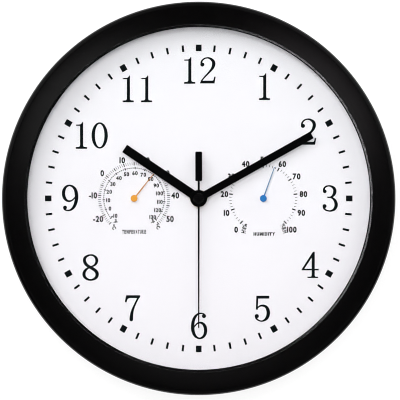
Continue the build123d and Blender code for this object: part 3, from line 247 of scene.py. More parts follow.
class Paint(Graph):
    """The node graph of one material, on Object coordinates."""

    wave_marks: ClassVar[float] = 20.0

    def __init__(self, name: str) -> None:
        """Starts an empty material.

        Args:
            name: The material's name.
        """
        self.material = bpy.data.materials.new(name)
        self.material.use_nodes = True
        self.material.node_tree.nodes.clear()
        super().__init__(self.material.node_tree)

    def place(self, centre: Place = (0.0, 0.0), grain: Grain = Grain.EVEN) -> Wire:
        """The point on the clock, measured from a centre on its face and stretched.

        Args:
            centre: Across and up, in millimetres.
            grain: How it is stretched.

        Returns:
            The vector.
        """
        point = self.node("ShaderNodeTexCoord", output="Object")
        stretch = grain.value
        shift = (-centre[0] * MM * stretch[0], 0.0, -centre[1] * MM * stretch[2])
        return self.node("ShaderNodeMapping", {}, {"Vector": point, "Location": shift, "Scale": stretch})

    def grain(self, size: float, detail: float = 2.0, grain: Grain = Grain.EVEN) -> Wire:
        """Noise from 0 to 1 whose marks have a real size.

        Args:
            size: Size of the marks in millimetres.
            detail: Octaves of finer marks.
            grain: How the marks are stretched.

        Returns:
            The noise.
        """
        return self.node("ShaderNodeTexNoise", {}, {"Vector": self.place(grain=grain),
                                                    "Scale": 1.0 / (size * MM), "Detail": detail})

    def wave(self, pitch: float, settings: dict, wander: float = 0.0) -> Wire:
        """Rings or bands from 0 to 1 at a real pitch.

        Args:
            pitch: Distance from one to the next in millimetres.
            settings: The wave's type and direction.
            wander: How far they leave their path.

        Returns:
            The relief.
        """
        scale = 1.0 / (pitch * MM * self.wave_marks)
        return self.node("ShaderNodeTexWave", settings,
                         {"Vector": self.place(), "Scale": scale, "Distortion": wander})

    def mixed(self, share: Wire, first: Colour | Wire, second: Colour | Wire) -> Wire:
        """A colour between two others."""
        ends = [c if isinstance(c, Wire) else (*c, 1.0) for c in (first, second)]
        return self.node("ShaderNodeMix", {"data_type": "RGBA"}, {0: share, 6: ends[0], 7: ends[1]}, output=2)

    def uneven(self, share: Wire, colour: Colour, low: float, high: float) -> Wire:
        """A colour between a darker and a lighter one, each made from it by a factor."""
        return self.mixed(share, tuple(low * c for c in colour), tuple(high * c for c in colour))

    def bump(self, height: Wire, depth: float) -> Wire:
        """A normal from a height of 0 to 1, where 1 stands for a depth in millimetres."""
        return self.node("ShaderNodeBump", {}, {"Height": height, "Distance": depth * MM, "Strength": 1.0})

    def close(self, shader: Wire) -> bpy.types.Material:
        """Ends the material in a shader."""
        self.node("ShaderNodeOutputMaterial", {}, {"Surface": shader})
        return self.material


# Finishes


@dataclass(frozen=True)
class Finish:
    """A surface. Its colour follows a broad pattern and its relief is a fine one, sized in millimetres.

    Where the broad pattern has no size, the colour follows the fine one. The roughness is the least there is,
    before the patterns add to it.
    """

    colour: Colour
    shades: Place = (0.9, 1.1)
    roughness: float = 0.3
    broad_gloss: float = 0.0
    fine_gloss: float = 0.0
    specular: float = 0.5
    metallic: float = 0.0
    coat: float = 0.0
    coat_roughness: float = 0.03
    broad_size: float = 0.0
    broad_detail: float = 2.0
    fine_size: float = 0.3
    fine_detail: float = 3.0
    stretch: Grain = Grain.EVEN
    depth: float = 0.002

    def dress(self, name: str) -> bpy.types.Material:
        """Builds a material with this finish.

        Args:
            name: The material's name.

        Returns:
            The material.
        """
        paint = Paint(name)
        return paint.close(self.shader(paint))

    def shader(self, paint: Paint) -> Wire:
        """Adds the shader.

        Args:
            paint: The material's graph.

        Returns:
            The shader.
        """
        fine = self.relief(paint)
        broad = paint.grain(self.broad_size, self.broad_detail) if self.broad_size else fine
        return paint.node("ShaderNodeBsdfPrincipled", {}, {
            "Base Color": self.tone(paint, broad),
            "Roughness": self.roughness + self.broad_gloss * broad + self.fine_gloss * fine,
            "Metallic": self.metallic, "Specular IOR Level": self.specular, "Coat Weight": self.polish(paint),
            "Coat Roughness": self.coat_roughness, "Normal": paint.bump(fine, self.depth)})

    def relief(self, paint: Paint) -> Wire:
        """The fine pattern."""
        return paint.grain(self.fine_size, self.fine_detail, self.stretch)

    def tone(self, paint: Paint, broad: Wire) -> Wire:
        """The colour, between its two shades."""
        return paint.uneven(broad, self.colour, *self.shades)

    def polish(self, paint: Paint) -> Wire | float:
        """The weight of the clear coat."""
        return self.coat


@dataclass(frozen=True, kw_only=True)
class Moulding(Finish):
    """Moulded plastic: spark-eroded or polished, with a little unevenness in colour and gloss."""

    shades: Place = (0.94, 1.06)
    broad_gloss: float = 0.05
    fine_gloss: float = 0.03
    broad_size: float = 9.0
    depth: float = 0.004


@dataclass(frozen=True, kw_only=True)
class PolishedHairline(Finish):
    """Matt black plastic whose outer hairline is polished along one side of the ring."""

    line_radius: float
    bright_side: float = radians(75.0)
    fade: Place = (0.15, 0.95)
    roughness: float = 0.7
    specular: float = 0.06
    coat_roughness: float = 0.12
    fine_size: float = 0.25

    def polish(self, paint: Paint) -> Wire:
        """The weight of the polish.

        Args:
            paint: The material's graph.

        Returns:
            The weight, full on the bright side of the line and none inside it.
        """
        flat = paint.flattened(paint.place())
        reach = paint.length(flat)
        side = paint.towards(flat, sin(self.bright_side), cos(self.bright_side))
        return paint.rise(side / reach, self.fade) * (reach > self.line_radius * MM)


@dataclass(frozen=True, kw_only=True)
class PrintedFace(Finish):
    """Sprayed white face with a very fine tooth: one white at the top and another, pinker one at the bottom,
    which is painted light of a pink bounce from the floor.
    """

    bottom_colour: Colour
    half_height: float = 130.0
    cloud_share: float = 0.5
    roughness: float = 0.62
    fine_gloss: float = 0.05
    specular: float = 0.3
    broad_size: float = 60.0
    broad_detail: float = 1.0
    fine_size: float = 0.25

    def tone(self, paint: Paint, broad: Wire) -> Wire:
        """Mixes the face's white with the painted floor-bounce white, which takes over towards the bottom.

        Args:
            paint: The material's graph.
            broad: The broad pattern.

        Returns:
            The colour.
        """
        # Painted light: lower down the dial the white turns to the pinker floor-bounce white, standing in for
        # light bounced up from the floor.
        height = 0.5 + paint.part(paint.place(), "Z") / (2 * self.half_height * MM)
        return paint.mixed(height + self.cloud_share * (broad - 0.5), self.bottom_colour, self.colour)


@dataclass(frozen=True, kw_only=True)
class PointerLacquer(Finish):
    """Lacquer of a pointer: one colour on its hub and another on its blade."""

    blade_colour: Colour
    centre: Place
    blade_shades: Place = (0.9, 1.1)
    hub_radius: float = 3.6
    shades: Place = (0.94, 1.06)
    roughness: float = 0.22
    fine_gloss: float = 0.06
    depth: float = 0.001

    def tone(self, paint: Paint, broad: Wire) -> Wire:
        """Mixes the hub's and the blade's lacquer.

        Args:
            paint: The material's graph.
            broad: The broad pattern.

        Returns:
            The colour.
        """
        reach = paint.length(paint.flattened(paint.place(self.centre)))
        # Past the hub's radius the blade takes its own colour.
        thin = paint.uneven(broad, self.blade_colour, *self.blade_shades)
        return paint.mixed(reach > self.hub_radius * MM, super().tone(paint, broad), thin)


@dataclass(frozen=True, kw_only=True)
class Ink(Finish):
    """Screen printing ink, a little uneven where the mesh left it."""

    shades: Place = (0.85, 1.15)
    roughness: float = 0.5
    fine_gloss: float = 0.08
    specular: float = 0.1
    fine_size: float = 0.2
    fine_detail: float = 2.0
    depth: float = 0.003


@dataclass(frozen=True, kw_only=True)
class Painted(Finish):
    """Sheet metal under satin paint, with the faint ripple of a sprayed coat."""

    roughness: float = 0.34
    broad_gloss: float = 0.06
    specular: float = 0.1
    broad_size: float = 12.0
    broad_detail: float = 1.0
    fine_size: float = 0.9
    fine_detail: float = 2.0
    depth: float = 0.006


@dataclass(frozen=True, kw_only=True)
class Metal(Finish):
    """Metal with fine drawn, rolled or blasted marks and a little tarnish."""

    shades: Place = (1.0, 0.88)
    roughness: float = 0.24
    broad_gloss: float = 0.08
    fine_gloss: float = 0.12
    metallic: float = 1.0
    broad_size: float = 6.0
    fine_size: float = 0.6
    fine_detail: float = 4.0
    depth: float = 0.004


@dataclass(frozen=True, kw_only=True)
class Turned(Finish):
    """Metal turned on a lathe: fine rings round the axis of the hands."""

    ring_pitch: float = 0.25
    wander: float = 0.6
    shades: Place = (1.0, 0.82)
    roughness: float = 0.28
    broad_gloss: float = 0.1
    metallic: float = 1.0
    broad_size: float = 4.0
    depth: float = 0.004

    def relief(self, paint: Paint) -> Wire:
        """The rings."""
        return paint.wave(self.ring_pitch, {"wave_type": "RINGS", "rings_direction": "Y"}, self.wander)


@dataclass(frozen=True, kw_only=True)
class Winding(Finish):
    """Enamelled wire laid turn beside turn along a coil that lies across the clock."""

    wire: float = 0.12
    wander: float = 0.4
    shades: Place = (0.45, 1.0)
    roughness: float = 0.32
    metallic: float = 0.85
    depth: float = 0.03

    def relief(self, paint: Paint) -> Wire:
        """The turns of wire."""
        return paint.wave(self.wire, {"bands_direction": "X"}, self.wander)


@dataclass(frozen=True, kw_only=True)
class BareBoard(Finish):
    """Solder-masked laminate with a faint weave under the mask."""

    weave: float = 0.5
    shades: Place = (0.8, 1.2)
    roughness: float = 0.34
    coat: float = 0.3
    depth: float = 0.01

    def relief(self, paint: Paint) -> Wire:
        """The weave, two ways."""
        threads = [paint.wave(self.weave, {"bands_direction": axis}) for axis in "XZ"]
        return (threads[0] + threads[1]) * 0.5


@dataclass(frozen=True, kw_only=True)
class Sleeve(Finish):
    """Plain shrink sleeve of a dry cell: one band of another colour at the positive end, printed on foil."""

    band: Colour
    band_from: float
    band_to: float
    shades: Place = (0.92, 1.08)
    roughness: float = 0.26
    fine_gloss: float = 0.06
    metallic: float = 0.35
    coat: float = 0.5
    coat_roughness: float = 0.1
    fine_size: float = 0.4

    def tone(self, paint: Paint, broad: Wire) -> Wire:
        """Mixes the sleeve and its band.

        Args:
            paint: The material's graph.
            broad: The broad pattern.

        Returns:
            The colour.
        """
        across = paint.part(paint.place(), "X")
        in_band = (across > self.band_from * MM) * (across < self.band_to * MM)
        return paint.mixed(in_band, super().tone(paint, broad), self.band)


@dataclass(frozen=True, kw_only=True)
class ClearGlass(Finish):
    """Flat clear glass: it bends nothing that the eye sees, and lets light through to the face."""

    roughness: float = 0.0
    specular: float = 0.3
    refraction: float = 1.5

    def shader(self, paint: Paint) -> Wire:
        """Adds a glass shader that is see-through to shadows.

        Args:
            paint: The material's graph.

        Returns:
            The shader.
        """
        tint = (*self.colour, 1.0)
        glass = paint.node("ShaderNodeBsdfPrincipled", {}, {
            "Base Color": tint, "Roughness": self.roughness, "IOR": self.refraction,
            "Transmission Weight": 1.0, "Specular IOR Level": self.specular})
        clear = paint.node("ShaderNodeBsdfTransparent", {}, {"Color": tint})
        return paint.node("ShaderNodeMixShader", {}, {0: paint.ray("Shadow"), 1: glass, 2: clear})


THERMOMETER_CENTRE: Place = (-49.3, 0.0)
HYGROMETER_CENTRE: Place = (49.3, 0.0)

FINISHES = {
    Slot.CASE: Moulding((0.0009, 0.0008, 0.0009), roughness=0.11, specular=0.35, fine_size=0.35, depth=0.002),
    Slot.GLASS: ClearGlass((0.985, 0.995, 0.99)),
    # The dial's bottom white is painted light: a pink bounce from the floor painted into its colour.
    Slot.DIAL: PrintedFace((0.93, 0.905, 0.95), bottom_colour=(0.92, 0.875, 0.925)),
    Slot.INK: Ink((0.004, 0.0058, 0.0065)),
    Slot.HAND: Painted((0.0012, 0.0012, 0.0014)),
    Slot.CAP: Moulding((0.002, 0.002, 0.0022), roughness=0.22, specular=0.3, depth=0.0008),
    Slot.ORANGE: PointerLacquer((0.80, 0.35, 0.05), blade_colour=(0.56, 0.25, 0.09),
                                centre=THERMOMETER_CENTRE),
    Slot.BLUE: PointerLacquer((0.03, 0.185, 0.50), blade_colour=(0.13, 0.25, 0.42), centre=HYGROMETER_CENTRE),
    Slot.BRASS: Turned((0.74, 0.55, 0.24)),
    Slot.WASHER: Turned((0.60, 0.59, 0.57), roughness=0.3),
    Slot.RUBBER: Moulding((0.03, 0.03, 0.03), roughness=0.68, fine_size=0.2, depth=0.01),
    Slot.MOVEMENT: Moulding((0.022, 0.022, 0.024), roughness=0.46, depth=0.012),
    Slot.ACETAL: Moulding((0.75, 0.74, 0.70), roughness=0.34, depth=0.002),
    Slot.RED: Moulding((0.50, 0.035, 0.03), roughness=0.32, depth=0.003),
    Slot.FERRITE: Moulding((0.05, 0.05, 0.055), roughness=0.51, fine_size=0.12, depth=0.006),
    Slot.LAMINATION: Metal((0.50, 0.50, 0.51), roughness=0.28, stretch=Grain.ACROSS),
    Slot.SCREW: Metal((0.56, 0.56, 0.57), roughness=0.2, fine_size=0.3),
    Slot.WIRE: Winding((0.62, 0.22, 0.08)),
    Slot.BOARD: BareBoard((0.03, 0.16, 0.07)),
    Slot.CAN: Metal((0.75, 0.75, 0.76), roughness=0.14, stretch=Grain.UP),
    Slot.RESIN: Moulding((0.012, 0.012, 0.012), roughness=0.16, fine_size=0.6, depth=0.006),
    Slot.SLEEVE: Sleeve((0.30, 0.32, 0.35), band=(0.62, 0.40, 0.14), band_from=-24.9, band_to=-10.0),
    Slot.NICKEL: Metal((0.68, 0.66, 0.61), roughness=0.16, stretch=Grain.ACROSS),
    Slot.STRIP: Metal((0.62, 0.50, 0.30)),
    Slot.LAMINATE: Metal((0.60, 0.55, 0.42), roughness=0.3),
    Slot.CUP: Moulding((0.80, 0.79, 0.76), roughness=0.38, depth=0.003),
}


# Meshes and outlines


def new_object(name: str, data: bpy.types.ID) -> bpy.types.Object:
    """Adds an object to the scene.

    Args:
        name: Its name.
        data: Its mesh, curve, light or camera.

    Returns:
        The object.
    """
    thing = bpy.data.objects.new(name, data)
    bpy.context.scene.collection.objects.link(thing)
    return thing


def final_mesh(host: bpy.types.Object) -> bpy.types.Mesh:
    """Makes a plain mesh of an object with its modifiers.

    Args:
        host: The object; it is removed.

    Returns:
        The mesh.
    """
    graph = bpy.context.evaluated_depsgraph_get()
    mesh = bpy.data.meshes.new_from_object(host.evaluated_get(graph), depsgraph=graph)
    bpy.data.objects.remove(host)
    return mesh


def shape_from(mesh: bpy.types.Mesh) -> bmesh.types.BMesh:
    """Takes the shape out of a spare mesh.

    Args:
        mesh: The mesh; it is removed.

    Returns:
        The shape.
    """
    shape = bmesh.new()
    shape.from_mesh(mesh)
    bpy.data.meshes.remove(mesh)
    return shape


def mesh_host(name: str, shape: bmesh.types.BMesh | None = None) -> bpy.types.Object:
    """Makes an object for a tree or a modifier to work on.

    Args:
        name: Its name.
        shape: What it starts from, if anything; it is freed.

    Returns:
        The object.
    """
    host = new_object(name, bpy.data.meshes.new(name))
    if shape:
        shape.to_mesh(host.data)
        shape.free()
    return host


def joined(shapes: Sequence[bmesh.types.BMesh]) -> bmesh.types.BMesh:
    """Puts several shapes into the first one.

    Args:
        shapes: The shapes; all but the first are freed.

    Returns:
        The first shape.
    """
    first = shapes[0]
    for other in shapes[1:]:
        spare = bpy.data.meshes.new("spare")
        other.to_mesh(spare)
        other.free()
        first.from_mesh(spare)
        bpy.data.meshes.remove(spare)
    return first


def finish_mesh(shape: bmesh.types.BMesh, name: str) -> bpy.types.Mesh:
    """Turns a face-up shape in millimetres into a mesh that stands in the clock's frame.

    Args:
        shape: The shape; it is freed.
        name: The mesh's name.

    Returns:
        The mesh, smooth but for its sharp edges.
    """
    bmesh.ops.remove_doubles(shape, verts=shape.verts, dist=MERGE_DISTANCE)
    bmesh.ops.recalc_face_normals(shape, faces=shape.faces)
    bmesh.ops.transform(shape, matrix=STAND_UP, verts=shape.verts)
    mesh = bpy.data.meshes.new(name)
    shape.to_mesh(mesh)
    shape.free()
    mesh.shade_smooth()
    mesh.set_sharp_from_angle(angle=SHARP_ANGLE)
    return mesh


def quarter_round(middle: Place, radius: float, steps: int, rise: int = 1) -> list[Place]:
    """Points on a quarter of a circle, from straight out to straight up, or down where the rise is -1."""
    angles = [pi / 2 * k / steps for k in range(steps + 1)]
    return [(middle[0] + radius * cos(a), middle[1] + rise * radius * sin(a)) for a in angles]


def turned_shape(profile: Sequence[Place], steps: int) -> bmesh.types.BMesh:
    """Turns a half section about the axis of the hands.

    Args:
        profile: The section's (radius, height) points.
        steps: Facets round the axis.

    Returns:
        The shape.
    """
    shape = bmesh.new()
    rows = []
    for radius, height in profile:
        angles = [2 * pi * k / steps for k in range(steps if radius else 1)]
        rows.append([shape.verts.new((radius * cos(a), radius * sin(a), height)) for a in angles])
    for low, high in zip(rows, rows[1:]):
        for k in range(steps):
            after = (k + 1) % steps
            corners = [low[k % len(low)], low[after % len(low)], high[after % len(high)], high[k % len(high)]]
            unique = list(dict.fromkeys(corners))
            if len(unique) > 2:
                shape.faces.new(unique)
    return shape


def plate_shape(outline: Sequence[Place], back: float, front: float, edge: float) -> bmesh.types.BMesh:
    """A flat plate with softened edges.

    Args:
        outline: Its outline, anticlockwise.
        back: Height of its back.
        front: Height of its front.
        edge: Width of the softened edge.

    Returns:
        The shape.
    """
    shape = bmesh.new()
    bottom = shape.faces.new([shape.verts.new((x, y, back)) for x, y in outline])
    raised = bmesh.ops.extrude_face_region(shape, geom=[bottom])
    top = [v for v in raised["geom"] if isinstance(v, bmesh.types.BMVert)]
    bmesh.ops.translate(shape, vec=(0, 0, front - back), verts=top)
    bmesh.ops.recalc_face_normals(shape, faces=shape.faces)
    rims = [e for e in shape.edges if abs(e.verts[0].co.z - e.verts[1].co.z) < SAME_PLACE]
    bmesh.ops.bevel(shape, geom=rims, offset=edge, segments=2, profile=0.5, affect="EDGES",
                    clamp_overlap=True)
    return shape


class FormTree(Graph):
    """A Geometry Nodes tree with named sizes that ends in a plain mesh."""

    def __init__(self, name: str) -> None:
        """Starts a tree that takes and gives geometry.

        Args:
            name: The tree's name.
        """
        super().__init__(bpy.data.node_groups.new(name, "GeometryNodeTree"))
        for end in ("OUTPUT", "INPUT"):
            self.tree.interface.new_socket(name="Geometry", in_out=end, socket_type="NodeSocketGeometry")
        self.values: dict[str, Number] = {}

    def base(self) -> Wire:
        """The geometry of the object that carries the tree."""
        return self.node("NodeGroupInput", output="Geometry")

    def given(self, name: str, value: Number) -> Wire:
        """A named input: a whole number for a count, else a size in millimetres or an angle in radians.

        Args:
            name: What it is.
            value: Its value.

        Returns:
            The input.
        """
        kind = "NodeSocketInt" if isinstance(value, int) else "NodeSocketFloat"
        socket = self.tree.interface.new_socket(name=name, in_out="INPUT", socket_type=kind)
        self.values[socket.identifier] = value
        return self.node("NodeGroupInput", output=name)

    def vector(self, across: Wire | Number, up: Wire | Number, height: Wire | Number) -> Wire:
        """A vector from its three parts."""
        return self.node("ShaderNodeCombineXYZ", {}, {"X": across, "Y": up, "Z": height})

    def repeated(self, count: int, place: Wire, instance: Wire, turn: Wire) -> Wire:
        """Puts copies of a form at places that follow from the Index.

        Args:
            count: How many.
            place: The places.
            instance: The form.
            turn: The turn of each copy about the axis that stands on the face.

        Returns:
            The copies.
        """
        points = self.node("GeometryNodePoints", {}, {"Count": self.given("Count", count)})
        spots = self.node("GeometryNodeSetPosition", {}, {"Geometry": points, "Position": place})
        return self.node("GeometryNodeInstanceOnPoints", {}, {
            "Points": spots, "Instance": instance, "Rotation": self.vector(0.0, 0.0, turn)})

    def grown(self, host: bpy.types.Object, geometry: Wire,
              material: bpy.types.Material) -> bmesh.types.BMesh:
        """Runs the tree on an object.

        Args:
            host: The object that the tree starts from; it is removed with its modifier.
            geometry: The tree's result.
            material: The material that it ends in.

        Returns:
            The shape, face up in millimetres.
        """
        real = self.node("GeometryNodeRealizeInstances", {}, {"Geometry": geometry})
        done = self.node("GeometryNodeSetMaterial", {}, {"Geometry": real, "Material": material})
        self.node("NodeGroupOutput", {}, {0: done})
        modifier = host.modifiers.new("form", "NODES")
        modifier.node_group = self.tree
        for identifier, value in self.values.items():
            modifier[identifier] = value
        shape = shape_from(final_mesh(host))
        if shape.calc_volume(signed=True) < 0:
            bmesh.ops.reverse_faces(shape, faces=shape.faces)
        return shape


def swept_ring(name: str, section: Sequence[Place], radius: float, steps: int,
               material: bpy.types.Material) -> bmesh.types.BMesh:
    """Sweeps a closed section round a circle.

    Args:
        name: Name of the tree.
        section: The section's (radius, height) points.
        radius: Radius of the circle that carries the section.
        steps: Facets round the ring.
        material: The ring's material.

    Returns:
        The shape.
    """
    outline = bpy.data.curves.new(name, "CURVE")
    outline.dimensions = "2D"
    outline.fill_mode = "NONE"
    spline = outline.splines.new("POLY")
    spline.points.add(len(section) - 1)
    for point, (distance, height) in zip(spline.points, section):
        point.co = (distance - radius, -height, 0.0, 1.0)
    spline.use_cyclic_u = True
    form = FormTree(name)
    circle = form.node("GeometryNodeCurvePrimitiveCircle", {}, {
        "Radius": form.given("Ring radius", radius), "Resolution": form.given("Facets", steps)})
    swept = form.node("GeometryNodeCurveToMesh", {}, {"Curve": circle, "Profile Curve": form.base()})
    return form.grown(new_object(name, outline), swept, material)


def repeated_round(host: bpy.types.Object, name: str, count: int, radius: float, start: float,
                   material: bpy.types.Material) -> bmesh.types.BMesh:
    """Repeats an object's mesh at places evenly spaced on a circle, each turned to face out.

    Args:
        host: The object to repeat; it is removed.
        name: Name of the tree.
        count: How many.
        radius: The circle's radius in millimetres.
        start: Angle of the first, anticlockwise from three o'clock, in radians.
        material: Their material.

    Returns:
        The shape.
    """
    form = FormTree(name)
    reach = form.given("Circle radius", radius)
    pitch = form.given("Angle between copies", 2 * pi / count)
    angle = form.given("First angle", start) + form.node("GeometryNodeInputIndex") * pitch
    place = form.vector(angle.cosine() * reach, angle.sine() * reach, 0.0)
    return form.grown(host, form.repeated(count, place, form.base(), angle), material)


class Workshop:
    """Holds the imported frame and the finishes, and hands finished pieces over to it."""

    merge_distance: ClassVar[float] = 0.002
    flat_angle: ClassVar[float] = radians(0.5)
    edge_angle: ClassVar[float] = radians(40)

    def __init__(self, frame: dict) -> None:
        self.frame = frame
        self.paints = {slot: finish.dress(slot.value) for slot, finish in FINISHES.items()}

    def hand_over(self, name: str, mesh: bpy.types.Mesh, slot: Slot, body: Body,
                  stands_for: Sequence[str] = ()) -> bpy.types.Object:
        """Makes a mesh into a piece of the clock.

        Args:
            name: The piece's name.
            mesh: Its mesh, in the clock's frame.
            slot: Its finish.
            body: What it moves with.
            stands_for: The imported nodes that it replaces.

        Returns:
            The piece.
        """
        piece = new_object(name, mesh)
        mesh.materials.clear()
        mesh.materials.append(self.paints[slot])
        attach(piece, body.value)
        if stands_for:
            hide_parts(*stands_for)
        LOG.info("%s: %d faces", name, len(mesh.polygons))
        return piece

    def shaped(self, name: str, shape: bmesh.types.BMesh, slot: Slot, body: Body,
               stands_for: Sequence[str] = ()) -> bpy.types.Object:
        """Stands a face-up shape up and makes it into a piece, as hand_over does."""
        return self.hand_over(name, finish_mesh(shape, name), slot, body, stands_for)

    def softened(self, node: str, slot: Slot, body: Body, edge: float,
                 convex: bool = False) -> bpy.types.Object:
        """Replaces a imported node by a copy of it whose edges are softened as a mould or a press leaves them.

        Args:
            node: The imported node.
            slot: Its finish.
            body: What it moves with.
            edge: Width of the softened edges in millimetres.
            convex: Whether faces that go round an opening are split into convex ones first.

        Returns:
            The piece.
        """
        shape = bmesh.new()
        shape.from_mesh(self.frame["nodes"][node].data)
        bmesh.ops.remove_doubles(shape, verts=shape.verts, dist=self.merge_distance * MM)
        bmesh.ops.dissolve_limit(shape, angle_limit=self.flat_angle, verts=shape.verts, edges=shape.edges)
        if convex:
            bmesh.ops.connect_verts_concave(shape, faces=shape.faces)
        host = mesh_host(node + "_copy", shape)
        host.data.shade_smooth()
        stored = host.data.attributes.get("custom_normal")
        if stored:
            host.data.attributes.remove(stored)
        bevel = host.modifiers.new("edge", "BEVEL")
        bevel.width = edge * MM
        bevel.segments = 2
        bevel.limit_method = "ANGLE"
        bevel.angle_limit = self.edge_angle
        bevel.use_clamp_overlap = True
        bevel.miter_outer = "MITER_ARC"
        bevel.harden_normals = True
        return self.hand_over(node + "_dressed", final_mesh(host), slot, body, [node])

    def paint_nodes(self, nodes: dict[Slot, Sequence[str]]) -> None:
        """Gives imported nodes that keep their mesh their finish.

        Args:
            nodes: The nodes of each finish.
        """
        for slot, names in nodes.items():
            for name in names:
                for place in self.frame["nodes"][name].material_slots:
                    place.material = self.paints[slot]
                LOG.info("%s: %s", name, slot.value)


# The pieces of the clock


@dataclass
class CaseRing:
    """The moulded ring round the face, with its rounded rim, crowned face, bevel and glass pocket."""

    rim_radius: float = 150.0
    rim_round: float = 3.5
    rim_loop: float = 0.02
    depth: float = 40.0
    face_fall: float = 1.4
    face_crown: float = 0.08
    opening_radius: float = 132.7
    opening_break: Sequence[Place] = ((0.10, 0.12), (0.17, 0.32))
    sight_radius: float = 130.6
    lip_front: float = 34.0
    glass_front: float = 33.0
    pocket_radius: float = 134.1
    pocket_back: float = 13.6
    pocket_outer_radius: float = 136.7
    wall: float = 2.6
    boss_circle: float = 142.05
    boss_radius: float = 3.6
    boss_back: float = 5.2
    boss_front: float = 37.6
    boss_bore: float = 1.5
    boss_bore_front: float = 16.0
    boss_facets: int = 32
    boss_count: int = 6
    boss_start: float = radians(30.0)
    key_half_width: float = 2.0
    key_radius: float = 132.9
    key_front: float = 31.0
    key_edge: float = 0.2
    arc_steps: int = 10
    facets: int = 360
    matt_lip: Finish = PolishedHairline((0.0012, 0.0010, 0.0011), line_radius=131.4)
    lip_margins: Place = (0.2, 0.1)

    def section(self) -> list[Place]:
        """Draws the ring's half section. A loop just inside the rim keeps the shading of the face flat.

        Returns:
            Its (radius, height) points, anticlockwise.
        """
        rim = self.rim_radius - self.rim_round
        opening = self.opening_radius
        inner_front = self.depth - self.face_fall
        wall_radius = self.rim_radius - self.wall
        points = [(self.rim_radius, 0.0)]
        points += quarter_round((rim, self.depth - self.rim_round), self.rim_round, self.arc_steps)
        for share in (self.rim_loop, *(k / self.arc_steps for k in range(1, self.arc_steps + 1))):
            crown = 4 * self.face_crown * share * (1 - share)
            points.append((rim + (opening - rim) * share, self.depth - self.face_fall * share + crown))
        points += [(opening - inwards, inner_front - down) for inwards, down in self.opening_break]
        return points + [
            (self.sight_radius, self.lip_front), (self.sight_radius, self.glass_front),
            (self.pocket_radius, self.glass_front), (self.pocket_radius, self.pocket_back),
            (self.pocket_outer_radius, self.pocket_back), (self.pocket_outer_radius, inner_front - self.wall),
            (wall_radius, self.depth - self.wall), (wall_radius, 0.0)]

    def build(self, shop: Workshop) -> None:
        """Builds the ring, its screw bosses and its key.

        Args:
            shop: Where it is finished.
        """
        paint = shop.paints[Slot.CASE]
        ring = swept_ring("case ring", self.section(), self.rim_radius, self.facets, paint)
        low, high = -self.pocket_outer_radius + self.wall / 2, -self.key_radius
        half = self.key_half_width
        key = plate_shape([(-half, low), (half, low), (half, high), (-half, high)],
                          self.pocket_back, self.key_front, self.key_edge)
        case = shop.shaped("case_ring", joined([ring, self.bosses(paint), key]), Slot.CASE, Body.CASE,
                           ["bezel_frame"])
        self.dull_lip(case)

    def bosses(self, paint: bpy.types.Material) -> bmesh.types.BMesh:
        """Repeats one screw boss round the ring.

        Args:
            paint: The case's material.

        Returns:
            The bosses.
        """
        boss = turned_shape([(0.0, self.boss_bore_front), (self.boss_bore, self.boss_bore_front),
                             (self.boss_bore, self.boss_back), (self.boss_radius, self.boss_back),
                             (self.boss_radius, self.boss_front), (0.0, self.boss_front)], self.boss_facets)
        return repeated_round(mesh_host("boss", boss), "case bosses", self.boss_count, self.boss_circle,
                              self.boss_start, paint)

    def dull_lip(self, case: bpy.types.Object) -> None:
        """Gives the bevel around the glass its own matt finish.

        Args:
            case: The finished ring.
        """
        case.data.materials.append(self.matt_lip.dress("case_black_matt"))
        inwards, forwards = self.lip_margins
        for face in case.data.polygons:
            spot = face.center / MM
            radius = Vector((spot.x, spot.z)).length
            if radius < self.opening_radius - inwards and -spot.y > self.glass_front + forwards:
                face.material_index = 1


@dataclass
class Glazing:
    """The flat glass and the black ring that keeps it off the hands."""

    glass_radius: float = 133.8
    glass_back: float = 31.0
    glass_front: float = 33.0
    glass_bevel: float = 0.4
    facets: int = 256
    spacer_edge: float = 0.15

    def build(self, shop: Workshop) -> None:
        """Builds the glass and its ring.

        Args:
            shop: Where they are finished.
        """
        radius, edge = self.glass_radius, self.glass_bevel
        glass = turned_shape([(0.0, self.glass_back), (radius - edge, self.glass_back),
                              (radius, self.glass_back + edge), (radius, self.glass_front - edge),
                              (radius - edge, self.glass_front), (0.0, self.glass_front)], self.facets)
        shop.shaped("glass", glass, Slot.GLASS, Body.CASE, ["lens"])
        shop.softened("spacer_ring", Slot.CASE, Body.CASE, self.spacer_edge)


class Printed:
    """The heights of a thin layer of ink on the dial."""

    back: ClassVar[float] = 19.0
    front: ClassVar[float] = 19.06
    middle: ClassVar[float] = (front + back) / 2


